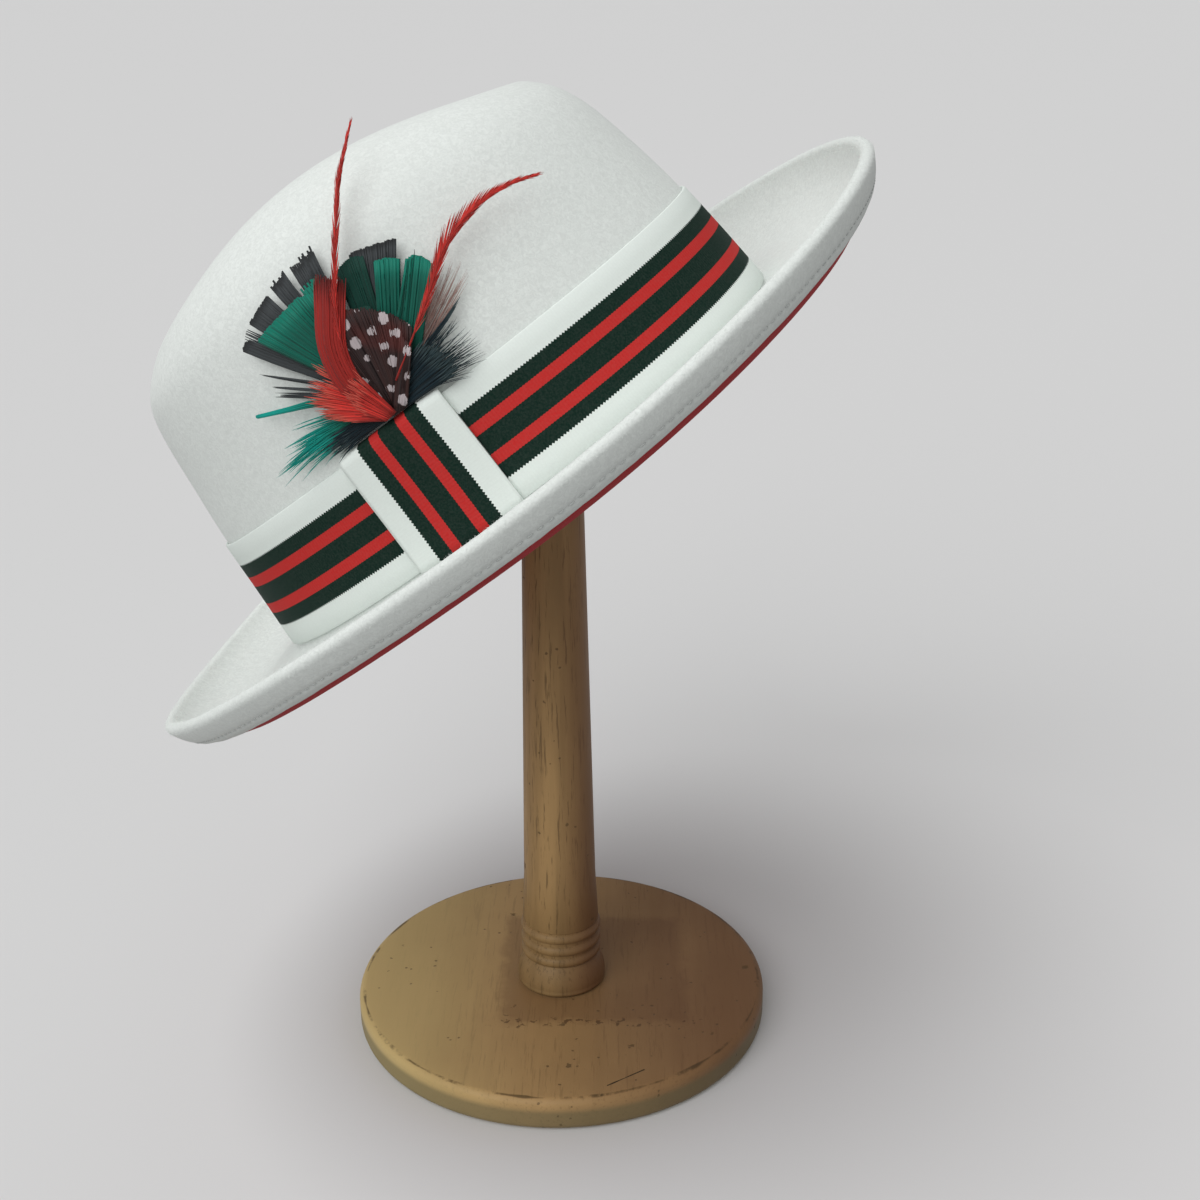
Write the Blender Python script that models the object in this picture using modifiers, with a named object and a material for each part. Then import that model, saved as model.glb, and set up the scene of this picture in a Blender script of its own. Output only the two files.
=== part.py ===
"""Two-tone felt fedora with a striped ribbon band and a feather plume, tipped on a turned wooden hat stand.

The hat is modelled upright in its own frame, with the brim's root at z = 0, the front towards -X and the
trimmed side towards -Y, and is then tipped and set down on the knob of the stand.
"""

import math
from collections import namedtuple

import bmesh
import bpy
import numpy as np
from mathutils import Matrix, Vector

MM = 0.001
GAP = 0.3 * MM
TRIM_GAP = 0.6 * MM
MERGE_DISTANCE = 0.001 * MM
SIDES = 40

# Felt body: a white outer felt whose edge folds under the brim, and a red inner felt
OUTER_FELT = 1.4 * MM
INNER_FELT = 1.1 * MM
CROWN_LENGTH = 207.4 * MM
CROWN_WIDTH = 173.4 * MM
CROWN_HEIGHT = 119.0 * MM
FRONT_DIP = 3.5 * MM
ROOT_FILLET = 2.0 * MM
WELT_WIDTH = 16.0 * MM

# The brim at the hat's back, side and front: its width along the felt, the angle at which it falls away from
# the crown, the angle to which its edge is curled up, and how far it dips to the trimmed side, as a slope. The
# curl starts at a share of the width.
BrimEnd = namedtuple("BrimEnd", "width fall curl dip")
BRIM_BACK = BrimEnd(57.0 * MM, -3.0, 67.0, 0.04)
BRIM_SIDE = BrimEnd(57.5 * MM, 3.5, 67.0, 0.04)
BRIM_FRONT = BrimEnd(55.0 * MM, 15.0, 70.0, -0.01)
CURL_START = 0.45

# Ribbon trim and sweatband
RIBBON_WIDTH = 40.0 * MM
RIBBON_THICKNESS = 1.0 * MM
KEEPER_ANGLE = -94.8
KEEPER_THICKNESS = 1.2 * MM
KEEPER_ROUND = 1.6 * MM
KEEPER_RISE = 1.5 * MM
KEEPER_SECTIONS = 7
SWEATBAND_HEIGHT = 29.0 * MM
SWEATBAND_THICKNESS = 1.0 * MM

# Feather plume, whose root is tucked in at the keeper's top edge
PLUME_ANGLE = -92.5
PLUME_ROOT_THICKNESS = 7.0 * MM
PLUME_TIP_THICKNESS = 1.2 * MM
PLUME_LIFT = 5.0 * MM
HACKLE_WIDTH = 3.2 * MM
HACKLE_THICKNESS = 1.0 * MM
HACKLE_TIP_SHARE = 0.2

# Hat stand
BASE_DIAMETER = 160.0 * MM
BASE_THICKNESS = 13.0 * MM
BASE_ROUND = 3.0 * MM
STAND_HEIGHT = 347.3 * MM
FOOT_DIAMETER = 34.4 * MM
FOOT_HEIGHT = 5.0 * MM
FOOT_INSET = 0.4 * MM
FOOT_EDGE_HEIGHT = 3.0 * MM
FOOT_ROUND = 1.2 * MM
BEAD_DIAMETER = 31.2 * MM
BEAD_RADIUS = 2.3 * MM
BEAD_HEIGHTS = (24.6 * MM, 19.2 * MM, 14.2 * MM)
SHAFT_START = 3.2 * MM
POST_FOOT_DIAMETER = 28.4 * MM
POST_TOP_DIAMETER = 19.4 * MM
KNOB_DIAMETER = 50.0 * MM
POST_SIDES = 24
BASE_SIDES = 48

# Pose of the hat on the stand
HAT_TILT = 36.3
HAT_LEAN = -3.3
HAT_X = -10.7 * MM
HAT_Y = -1.5 * MM

# Crown sections from the wall to the bottom of the dent. Height and droop are shares of the crown's height,
# length and shift of its length, and width of its width. Droop lowers the two ends of a section.
CrownRow = namedtuple("CrownRow", "height length width shift droop")
CROWN_ROWS = (
    CrownRow(0.025, 1.000, 1.000, 0.003, 0.000),
    CrownRow(0.205, 0.979, 0.979, 0.003, 0.000),
    CrownRow(0.380, 0.957, 0.960, 0.001, 0.000),
    CrownRow(0.530, 0.928, 0.940, -0.001, 0.000),
    CrownRow(0.685, 0.893, 0.911, -0.005, 0.005),
    CrownRow(0.810, 0.854, 0.865, -0.008, 0.040),
    CrownRow(0.905, 0.796, 0.775, -0.006, 0.078),
    CrownRow(0.965, 0.738, 0.655, -0.002, 0.105),
    CrownRow(1.000, 0.660, 0.510, 0.010, 0.135),
    CrownRow(0.980, 0.580, 0.360, 0.012, 0.125),
    CrownRow(0.915, 0.500, 0.185, 0.014, 0.085),
    CrownRow(0.865, 0.430, 0.000, 0.015, 0.045),
)
WALL_ROWS = 9

# Brim sections. The inner ones are shares of the way from the root fillet to the welt's raw edge, the outer ones
# shares of the welt's width.
INNER_BRIM = (0.0, 0.35, 0.70)
OUTER_BRIM = (0.0, 0.35, 0.65, 0.85, 1.0)
FOLD_STEPS = 4

# Locks of the plume: angle from straight up the crown in degrees, towards the front, length as a share of
# PLUME_LENGTH, and half the lock's spread in degrees. Notches and shoulders are shares of their lock.
PLUME_LENGTH = 55.0 * MM
NOTCH_LENGTH = 0.72
SHOULDER_LENGTH = 0.93
SHOULDER_SPREAD = 0.6
ROOT_LENGTH = 0.02
Lock = namedtuple("Lock", "angle length spread")
PLUME_LOCKS = (
    Lock(-83.0, 0.60, 6.0),
    Lock(-71.0, 0.70, 5.5),
    Lock(-59.5, 0.74, 5.5),
    Lock(-48.5, 0.88, 5.0),
    Lock(-38.0, 0.97, 5.0),
    Lock(-27.0, 0.86, 5.5),
    Lock(-15.5, 0.91, 5.5),
    Lock(-4.0, 1.00, 5.5),
    Lock(8.0, 0.94, 6.0),
    Lock(20.0, 1.00, 5.5),
    Lock(31.5, 0.96, 5.5),
    Lock(43.5, 0.78, 6.0),
    Lock(56.0, 0.84, 6.0),
    Lock(69.0, 0.66, 6.5),
    Lock(82.0, 0.77, 6.0),
)
PLUME_RINGS = (0.05, 0.30, 0.65, 1.00)

# The two long hackles: points as shares of PLUME_LENGTH from the root, towards the front and up the crown
HACKLE_PATHS = {
    "hackle_front": ((0.02, 0.25), (-0.21, 0.71), (-0.32, 0.88), (-0.43, 1.05), (-0.60, 1.25), (-0.74, 1.34)),
    "hackle_back": ((-0.15, 0.14), (-0.49, 0.35), (-0.70, 0.50), (-0.93, 0.59), (-1.18, 0.62), (-1.52, 0.56)),
}

# Colours: base colour, roughness
FINISHES = {
    "white_felt": ((0.80, 0.83, 0.80), 0.95),
    "red_felt": ((0.42, 0.020, 0.025), 0.95),
    "ribbon": ((0.78, 0.83, 0.80), 0.70),
    "feather": ((0.010, 0.130, 0.100), 0.60),
    "hackle": ((0.50, 0.035, 0.030), 0.55),
    "wood": ((0.36, 0.22, 0.11), 0.50),
}


def blend_round(angle, field):
    """One measure of the brim, running smoothly from the back, at angle 0, over the side to the front."""
    along = math.cos(angle)
    side = getattr(BRIM_SIDE, field)
    end = getattr(BRIM_BACK if along > 0 else BRIM_FRONT, field)
    return side + (end - side) * along**2


def crown_section(height_share):
    """The crown's section at a share of its height, between the table's rows on its outside."""
    wall = CROWN_ROWS[:WALL_ROWS]
    heights = [row.height for row in wall]
    return CrownRow(*(float(np.interp(height_share, heights, [row[k] for row in wall])) for k in range(5)))


def crown_point(section, angle):
    """A point of the felt's outer face on one section of the crown."""
    x = CROWN_LENGTH * (section.shift + section.length / 2 * math.cos(angle))
    y = CROWN_WIDTH * section.width / 2 * math.sin(angle)
    z = CROWN_HEIGHT * (section.height - section.droop * math.cos(angle) ** 2)
    return Vector((x, y, z - front_dip(angle) * (1 - section.height)))


def front_dip(angle):
    """How much lower the crown's foot lies towards the front than at the sides and the back."""
    return FRONT_DIP * max(0.0, -math.cos(angle)) ** 2


def plan_normal(angle):
    """The outward direction, in plan, of the crown's oval at an angle."""
    return Vector((math.cos(angle) / CROWN_LENGTH, math.sin(angle) / CROWN_WIDTH, 0)).normalized()


def wall_point(height, angle, offset):
    """A point off the crown's side at a height, moved straight out from the felt's face by an offset."""
    return crown_point(crown_section(height / CROWN_HEIGHT), angle) + plan_normal(angle) * offset


def brim_point(angle, travelled):
    """A point of the brim's upper face, at a distance along the felt from the foot of the crown."""
    width = blend_round(angle, "width")
    fall = math.radians(blend_round(angle, "fall"))
    curl = math.radians(blend_round(angle, "curl"))
    straight = min(travelled, CURL_START * width)
    radius = (1 - CURL_START) * width / (fall + curl)
    slope = (travelled - straight) / radius - fall
    reach = straight * math.cos(fall) + radius * (math.sin(slope) + math.sin(fall))
    rise = -straight * math.sin(fall) + radius * (math.cos(fall) - math.cos(slope))
    point = crown_point(CROWN_ROWS[0], angle) + plan_normal(angle) * reach
    point.z = rise - front_dip(angle) + blend_round(angle, "dip") * point.y * travelled / width
    return point


def ring_angles():
    return [2 * math.pi * k / SIDES for k in range(SIDES)]


def felt_face():
    """The hat's upper face as rings of points, from the middle of the dent out to the brim's edge."""
    rings = [[crown_point(row, a) for a in ring_angles()] for row in reversed(CROWN_ROWS)]
    fillet_share = 1 - math.sqrt(0.5)
    fillet = [brim_point(a, ROOT_FILLET * fillet_share) for a in ring_angles()]
    for point in fillet:
        point.z += ROOT_FILLET * fillet_share
    rings.append(fillet)
    for share in INNER_BRIM:
        rings.append([brim_point(a, inner_distance(a, share)) for a in ring_angles()])
    for share in OUTER_BRIM:
        rings.append([brim_point(a, outer_distance(a, share)) for a in ring_angles()])
    return np.array(rings)


def inner_distance(angle, share):
    return ROOT_FILLET + share * (blend_round(angle, "width") - WELT_WIDTH - ROOT_FILLET)


def outer_distance(angle, share):
    return blend_round(angle, "width") - WELT_WIDTH * (1 - share)


def face_normals(face):
    """Unit normals of a face given as rings, pointing up or out of the hat."""
    outward = np.gradient(face, axis=0)
    around = np.roll(face, -1, axis=1) - np.roll(face, 1, axis=1)
    normals = np.cross(outward, around)
    lengths = np.linalg.norm(normals, axis=2, keepdims=True)
    normals = normals / np.maximum(lengths, 1e-12)
    normals[0] = (0, 0, 1)
    return normals


def loft(name, rings, closed=False, capped=False):
    """A solid through rings of points. A closed one joins its last ring to its first, a capped one is filled."""
    work = bmesh.new()
    verts = [[work.verts.new(Vector(p)) for p in ring] for ring in rings]
    pairs = list(zip(verts, verts[1:]))
    if closed:
        pairs.append((verts[-1], verts[0]))
    for low, high in pairs:
        for k in range(len(low)):
            after = (k + 1) % len(low)
            work.faces.new((low[k], low[after], high[after], high[k]))
    if capped:
        work.faces.new(verts[0])
        work.faces.new(verts[-1])
    bmesh.ops.remove_doubles(work, verts=work.verts, dist=MERGE_DISTANCE)
    bmesh.ops.dissolve_degenerate(work, edges=work.edges, dist=MERGE_DISTANCE)
    bmesh.ops.triangulate(work, faces=work.faces, quad_method="SHORT_EDGE")
    bmesh.ops.recalc_face_normals(work, faces=work.faces)
    mesh = bpy.data.meshes.new(name)
    work.to_mesh(mesh)
    work.free()
    return add_object(name, mesh)


def add_object(name, mesh):
    piece = bpy.data.objects.new(name, mesh)
    bpy.context.scene.collection.objects.link(piece)
    mesh.shade_smooth()
    mesh.set_sharp_from_angle(angle=math.radians(40))
    return piece


def edge_fold(face, normals, radius, steps):
    """Rings round the brim's edge, half a turn about the middle of the folded thickness."""
    outward = face[-1] - face[-2]
    outward /= np.linalg.norm(outward, axis=1, keepdims=True)
    centre = face[-1] - normals[-1] * folded_thickness() / 2
    turns = [math.pi * k / steps for k in range(steps + 1)]
    return [centre + radius * (math.cos(t) * normals[-1] + math.sin(t) * outward) for t in turns]


def folded_thickness():
    return 2 * OUTER_FELT + INNER_FELT + 2 * GAP


def make_outer_felt(face, normals):
    """Crown and brim in one, with the edge folded under and back as a welt."""
    welt_rows = range(len(face) - 2, len(face) - 1 - len(OUTER_BRIM), -1)
    underside = folded_thickness()
    rings = list(face[:-1])
    rings += edge_fold(face, normals, folded_thickness() / 2, FOLD_STEPS)
    rings += [face[k] - normals[k] * underside for k in welt_rows]
    rings += [face[k] - normals[k] * (underside - OUTER_FELT) for k in reversed(welt_rows)]
    inner_fold = edge_fold(face, normals, folded_thickness() / 2 - OUTER_FELT, FOLD_STEPS - 2)
    rings += reversed(inner_fold)
    rings += [face[k] - normals[k] * OUTER_FELT for k in range(len(face) - 2, -1, -1)]
    return loft("outer_felt", rings)


def make_inner_felt(face, normals):
    """The red felt under the outer one, from the top of the crown into the fold of the brim."""
    upper = OUTER_FELT + GAP
    lower = upper + INNER_FELT
    rings = [face[k] - normals[k] * upper for k in range(len(face))]
    rings += [face[k] - normals[k] * lower for k in range(len(face) - 1, -1, -1)]
    return loft("inner_felt", rings)


def wall_band(name, bottom, top, inner, outer):
    """A strip round the crown between two heights, from one offset off the felt's outer face to another."""
    heights = (bottom, top)
    rings = [[wall_point(z, a, outer) for a in ring_angles()] for z in heights]
    rings += [[wall_point(z, a, inner) for a in ring_angles()] for z in reversed(heights)]
    return loft(name, rings, closed=True)


def band_top():
    return ROOT_FILLET + RIBBON_WIDTH


def make_band():
    return wall_band("ribbon_band", ROOT_FILLET, band_top(), GAP, GAP + RIBBON_THICKNESS)


def make_sweatband():
    behind = OUTER_FELT + GAP + INNER_FELT + GAP
    return wall_band("sweatband", ROOT_FILLET, SWEATBAND_HEIGHT, -behind - SWEATBAND_THICKNESS, -behind)


def angle_step(angle, distance):
    """The angle that a distance along the foot of the crown covers, near an angle."""
    along = math.hypot(CROWN_LENGTH / 2 * math.sin(angle), CROWN_WIDTH / 2 * math.cos(angle))
    return distance / along


def keeper_top():
    return band_top() + KEEPER_RISE + KEEPER_THICKNESS


def keeper_profile():
    """The keeper's section as offsets from the felt and heights: up its face, over the band and down behind."""
    face = GAP + RIBBON_THICKNESS + TRIM_GAP + KEEPER_THICKNESS
    back = face - KEEPER_THICKNESS
    crest = keeper_top()
    foot = ROOT_FILLET / 2
    cut = KEEPER_ROUND * (1 - math.sqrt(0.5))
    return (
        (face, foot),
        (face, (foot + crest) / 2),
        (face, crest - KEEPER_ROUND),
        (face - cut, crest - cut),
        (face - KEEPER_ROUND, crest),
        (GAP, crest),
        (GAP, crest - KEEPER_THICKNESS),
        (back, crest - KEEPER_THICKNESS),
        (back, (foot + crest) / 2),
        (back, foot),
    )


def make_keeper():
    """The flat loop of ribbon that stands upright over the band."""
    centre = math.radians(KEEPER_ANGLE)
    half = angle_step(centre, RIBBON_WIDTH / 2)
    angles = np.linspace(centre - half, centre + half, KEEPER_SECTIONS)
    rings = [[wall_point(z, a, off) for off, z in keeper_profile()] for a in angles]
    return loft("ribbon_keeper", rings, capped=True)


def plume_root_height():
    return keeper_top() + TRIM_GAP


def chart_point(forward, up, offset):
    """A point off the crown's side, from distances forward and up along the felt from the plume's root."""
    angle = math.radians(PLUME_ANGLE) - angle_step(math.radians(PLUME_ANGLE), forward)
    return wall_point(plume_root_height() + up, angle, offset)


def plume_outline():
    """The plume's outline in polar form: a notch, a shoulder, a tip and a shoulder for each lock."""
    outline = []
    for lock in PLUME_LOCKS:
        shoulder = lock.spread * SHOULDER_SPREAD
        outline.append((lock.angle - lock.spread, lock.length * NOTCH_LENGTH))
        outline.append((lock.angle - shoulder, lock.length * SHOULDER_LENGTH))
        outline.append((lock.angle, lock.length))
        outline.append((lock.angle + shoulder, lock.length * SHOULDER_LENGTH))
        outline.append((lock.angle + lock.spread, lock.length * NOTCH_LENGTH))
    return outline


def plume_back(spread):
    """How far the plume's back stands off the crown, at a share of the way to its tips."""
    return TRIM_GAP + PLUME_LIFT * spread**2


def plume_face(spread):
    """How far the plume's outer face stands off the crown, at a share of the way to its tips."""
    swell = (PLUME_ROOT_THICKNESS - PLUME_TIP_THICKNESS) * (1 - spread) ** 2
    return plume_back(spread) + PLUME_TIP_THICKNESS + swell


def make_plume():
    """All the short feathers as one fan of locks, thick at the root and thin at the tips."""
    outline = plume_outline()
    outline.append((180.0, ROOT_LENGTH))

    def ring(share, offset_at):
        points = []
        for degrees, length in outline:
            forward = PLUME_LENGTH * length * share * math.sin(math.radians(degrees))
            up = PLUME_LENGTH * length * share * max(math.cos(math.radians(degrees)), 0.0)
            points.append(chart_point(forward, up, offset_at(length * share)))
        return points

    rings = [ring(share, plume_face) for share in PLUME_RINGS]
    rings += [ring(share, plume_back) for share in reversed(PLUME_RINGS)]
    return loft("feather_plume", rings, capped=True)


def make_hackle(name):
    """One long thin feather, as a tapered flat strip laid over the plume and on past its tips."""
    centres = []
    for forward, up in HACKLE_PATHS[name]:
        spread = min(math.hypot(forward, up), 1.0)
        lift = np.interp(spread, PLUME_RINGS, [plume_face(share) for share in PLUME_RINGS])
        lift += GAP + HACKLE_THICKNESS / 2
        centres.append(chart_point(forward * PLUME_LENGTH, up * PLUME_LENGTH, lift))
    out = plan_normal(math.radians(PLUME_ANGLE))
    rings = []
    for k, centre in enumerate(centres):
        along = (centres[min(k + 1, len(centres) - 1)] - centres[max(k - 1, 0)]).normalized()
        side = along.cross(out).normalized()
        taper = 1 - (1 - HACKLE_TIP_SHARE) * k / (len(centres) - 1)
        half_width = side * HACKLE_WIDTH / 2 * taper
        half_depth = out * HACKLE_THICKNESS / 2
        corners = ((-1, -1), (1, -1), (1, 1), (-1, 1))
        rings.append([centre + half_width * w + half_depth * d for w, d in corners])
    return loft(name, rings, capped=True)


def turned(name, profile, sides):
    """A turned solid from a profile of radii and heights that runs from its top to its bottom."""
    mesh = bpy.data.meshes.new(name + "_profile")
    points = [(radius, 0, height) for radius, height in profile]
    mesh.from_pydata(points, [(k, k + 1) for k in range(len(points) - 1)], [])
    piece = bpy.data.objects.new(name, mesh)
    bpy.context.scene.collection.objects.link(piece)
    screw = piece.modifiers.new("turn", "SCREW")
    screw.steps = sides
    screw.render_steps = sides
    screw.use_merge_vertices = True
    screw.merge_threshold = MERGE_DISTANCE
    screw.use_smooth_shade = True
    return piece


def arc(centre_radius, centre_height, radius, first, last, steps):
    """Points of a circle in a turned profile, between two angles in degrees above the horizontal."""
    angles = [math.radians(first + (last - first) * k / steps) for k in range(steps + 1)]
    return [(centre_radius + radius * math.cos(a), centre_height + radius * math.sin(a)) for a in angles]


def make_base():
    """The round board, with its two rims rounded."""
    radius = BASE_DIAMETER / 2 - BASE_ROUND
    profile = [(0, BASE_THICKNESS)]
    profile += arc(radius, BASE_THICKNESS - BASE_ROUND, BASE_ROUND, 90, 0, 4)
    profile += arc(radius, BASE_ROUND, BASE_ROUND, 0, -90, 2)
    profile += [(0, 0)]
    return turned("stand_base", profile, BASE_SIDES)


def knob_centre():
    return STAND_HEIGHT - KNOB_DIAMETER / 2


def make_post():
    """The turned post: a flared foot, three beads, a tapering shaft and a plain round knob under the crown."""
    bottom = BASE_THICKNESS + GAP
    foot = FOOT_DIAMETER / 2
    bead = BEAD_DIAMETER / 2
    shaft = POST_FOOT_DIAMETER / 2
    neck = POST_TOP_DIAMETER / 2
    knob = KNOB_DIAMETER / 2
    profile = [(0, STAND_HEIGHT)]
    profile += arc(0, knob_centre(), knob, 75, -45, 8)
    profile += [(neck, knob_centre() - knob)]
    profile += [(shaft, bottom + BEAD_HEIGHTS[0] + SHAFT_START)]
    for height in BEAD_HEIGHTS:
        profile += arc(bead - BEAD_RADIUS, bottom + height, BEAD_RADIUS, 60, -60, 4)
    profile += [(foot - FOOT_INSET, bottom + FOOT_HEIGHT), (foot, bottom + FOOT_EDGE_HEIGHT)]
    profile += [(foot - FOOT_ROUND, bottom), (0, bottom)]
    return turned("stand_post", profile, POST_SIDES)


def hat_rotation():
    """The hat's turn on the stand: back end up, and leaning a little away from the trimmed side."""
    tilt = Matrix.Rotation(-math.radians(HAT_TILT), 4, "Y")
    lean = Matrix.Rotation(math.radians(HAT_LEAN), 4, "X")
    return tilt @ lean


def hat_place(face, normals):
    """The hat's full placement, at the height where the inner felt comes down to the stand's knob."""
    inside = face - normals * (OUTER_FELT + GAP + INNER_FELT)
    halfway = (inside[:-1] + inside[1:]) / 2
    halfway = (halfway + np.roll(halfway, 1, axis=1)) / 2
    touching = np.concatenate((inside, halfway)).reshape(-1, 3)
    turn = hat_rotation()
    reach = KNOB_DIAMETER / 2 + 2 * GAP
    lift = -math.inf
    for point in touching:
        placed = turn @ Vector(point)
        away = math.hypot(placed.x + HAT_X, placed.y + HAT_Y)
        if away < reach:
            lift = max(lift, knob_centre() + math.sqrt(reach**2 - away**2) - placed.z)
    return Matrix.Translation((HAT_X, HAT_Y, lift)) @ turn


def make_finish(name):
    colour, roughness = FINISHES[name]
    material = bpy.data.materials.new(name)
    material.use_nodes = True
    shader = material.node_tree.nodes["Principled BSDF"]
    shader.inputs["Base Color"].default_value = (*colour, 1.0)
    shader.inputs["Roughness"].default_value = roughness
    return material


def main():
    for old in list(bpy.data.objects):
        bpy.data.objects.remove(old)
    face = felt_face()
    normals = face_normals(face)
    hat = {
        make_outer_felt(face, normals): "white_felt",
        make_inner_felt(face, normals): "red_felt",
        make_sweatband(): "red_felt",
        make_band(): "ribbon",
        make_keeper(): "ribbon",
        make_plume(): "feather",
        make_hackle("hackle_front"): "hackle",
        make_hackle("hackle_back"): "hackle",
    }
    stand = {make_base(): "wood", make_post(): "wood"}

    group = bpy.data.collections.new("fedora_on_stand")
    bpy.context.scene.collection.children.link(group)
    holder = bpy.data.objects.new("hat_frame", None)
    holder.matrix_world = hat_place(face, normals)
    group.objects.link(holder)
    for piece, finish in {**hat, **stand}.items():
        bpy.context.scene.collection.objects.unlink(piece)
        group.objects.link(piece)
        piece.data.materials.append(bpy.data.materials.get(finish) or make_finish(finish))
    for piece in hat:
        piece.parent = holder
    bpy.context.view_layer.update()


main()
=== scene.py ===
"""A two-tone felt fedora with a striped ribbon band and a feather plume, tipped on a turned wooden hat stand.

The hat's pieces are modelled upright in the hat's own frame, with the foot of the crown at z = 0, the front
towards -X and the trimmed side towards -Y, and each point is then put where the hat sits on its stand.
"""

import math

import bpy
import numpy as np
from mathutils import Matrix, Vector, noise


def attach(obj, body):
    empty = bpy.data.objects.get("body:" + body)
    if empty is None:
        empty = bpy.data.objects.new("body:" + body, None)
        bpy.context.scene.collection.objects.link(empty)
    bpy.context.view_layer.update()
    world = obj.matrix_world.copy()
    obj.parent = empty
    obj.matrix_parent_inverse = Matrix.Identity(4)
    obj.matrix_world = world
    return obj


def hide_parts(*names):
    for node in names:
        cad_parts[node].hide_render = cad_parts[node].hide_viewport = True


bl_info = {
    "name": "Two-tone felt fedora",
    "version": (1, 0, 0),
    "blender": (4, 5, 0),
    "location": "3D View > Sidebar > Fedora",
    "description": "Makes a felt fedora with its ribbon and feathers, on a wooden hat stand",
    "category": "Add Mesh",
}

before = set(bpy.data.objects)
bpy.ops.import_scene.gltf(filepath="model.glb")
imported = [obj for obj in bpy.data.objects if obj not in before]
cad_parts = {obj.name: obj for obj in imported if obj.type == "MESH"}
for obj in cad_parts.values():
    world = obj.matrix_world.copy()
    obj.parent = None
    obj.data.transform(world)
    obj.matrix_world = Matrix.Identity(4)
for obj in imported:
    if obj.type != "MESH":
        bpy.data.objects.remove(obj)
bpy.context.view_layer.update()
MM = 0.001

# Where the hat sits on its stand
HAT_TILT = 36.3
HAT_LEAN = -3.3
HAT_PLACE = (-10.7 * MM, -1.5 * MM, 226.77 * MM)

# Felts: a white outer felt whose edge folds under the brim as a stitched welt, and a red inner one
OUTER_FELT = 1.4 * MM
INNER_FELT = 1.1 * MM
FELT_GAP = 0.3 * MM
FOLDED = 2 * OUTER_FELT + INNER_FELT + 2 * FELT_GAP
WELT_WIDTH = 11.5 * MM
WELT_STEPS = 20
WELT_PRESSED = 0.75 * MM
WELT_PRESSED_WIDTH = 2.2 * MM
STITCH_INSET = 4.5 * MM
STITCH_PITCH = 3.6 * MM
STITCH_LENGTH = 2.3 * MM
STITCH_THICKNESS = 0.52 * MM
STITCH_SUNK = 0.22 * MM
GROOVE_WIDTH = 0.9 * MM
GROOVE_DEPTH = 0.35 * MM
ROOT_FILLET = 2.0 * MM
FRONT_DIP = 3.5 * MM
CURL_START = 0.45

# Unevenness of felt, as waves round the hat: how many, a seed, and a share of 1 mm or of the last row's depth
WAVY_FELT = ((9, 2.0, 0.40), (31, 5.0, 0.20), (130, 7.0, 0.12))
FRAYED_EDGE = ((150, 8.0, 0.50), (420, 3.0, 0.35))

# Loose fibres along the brim's rolled edge
FUZZY_ROWS = 5
FUZZ_COUNT = 12000
FUZZ_LENGTH = 1.1 * MM
FUZZ_RADIUS = 0.04 * MM

# The brim at the back, side and front: width along the felt, fall and curl in degrees, and dip as a slope
BRIM_BACK = (57.0 * MM, -3.0, 67.0, 0.04)
BRIM_SIDE = (57.5 * MM, 3.5, 67.0, 0.04)
BRIM_FRONT = (55.0 * MM, 15.0, 70.0, -0.01)

# Crown sections from the foot to the bottom of the dent, as shares: height, length, width, shift, droop
CROWN_ROWS = np.array((
    (0.025, 1.000, 1.000, 0.003, 0.000),
    (0.205, 0.979, 0.979, 0.003, 0.000),
    (0.380, 0.957, 0.960, 0.001, 0.000),
    (0.530, 0.928, 0.940, -0.001, 0.000),
    (0.685, 0.893, 0.911, -0.005, 0.005),
    (0.810, 0.854, 0.865, -0.008, 0.040),
    (0.905, 0.796, 0.775, -0.006, 0.078),
    (0.965, 0.738, 0.655, -0.002, 0.105),
    (1.000, 0.660, 0.510, 0.010, 0.135),
    (0.980, 0.580, 0.360, 0.012, 0.125),
    (0.915, 0.500, 0.185, 0.014, 0.085),
    (0.865, 0.430, 0.000, 0.015, 0.045),
))
WALL_ROWS = 9

# Ribbon band, the flat loop over it, and the sweatband inside. The ribbon's pattern is given as shares of its
# width: from its middle to the dark ground's edge and to both edges of a red stripe, and the selvedge's width
RIBBON_THICKNESS = 1.0 * MM
RIBBON_GROUND = 0.300
RIBBON_STRIPE = (0.085, 0.178)
SELVEDGE = 0.012
KEEPER_ANGLE = -94.8
KEEPER_THICKNESS = 1.2 * MM
KEEPER_ROUND = 3.5 * MM
KEEPER_LEAN = 1.1 * MM
KEEPER_RISE = 1.5 * MM
TRIM_GAP = 0.6 * MM
SWEATBAND_HEIGHT = 29.0 * MM
SWEATBAND_THICKNESS = 1.0 * MM
SWEATBAND_RIB = 0.025

# Plume: the angle of its root, the height above which its chart goes straight on, how flat and how even the
# cut blades are, the hackles' quill in millimetres and its bare share, and a barb's least lift in millimetres
PLUME_ANGLE = -92.5
CHART_TOP = 100.0 * MM
VANE_RIDGE = 0.10
VANE_CONTRAST = 0.45
QUILL = 0.7
QUILL_BARE = 0.1
LOWEST_BARB = 0.35

# The dotted feather's dots, and their radius as a share of the distance between them
DOTS_PER_METRE = 175
DOT_RADIUS = 0.27

# Turned stand: a round board, and a post with a knob, a tapering shaft, three beads and a flared foot
BASE_THICKNESS = 13.0 * MM
BASE_ROUND = 3.0 * MM
KNOB = 25.0 * MM
POST_TOP = 19.4 * MM
POST_FOOT = 28.4 * MM
BEAD = 31.2 * MM
BEAD_ROUND = 2.3 * MM
BEAD_HEIGHTS = (24.6 * MM, 19.2 * MM, 14.2 * MM)
SHAFT_START = 3.2 * MM
FOOT = 34.4 * MM
FOOT_EDGE = 3.0 * MM
FOOT_ROUND = 1.6 * MM

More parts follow.
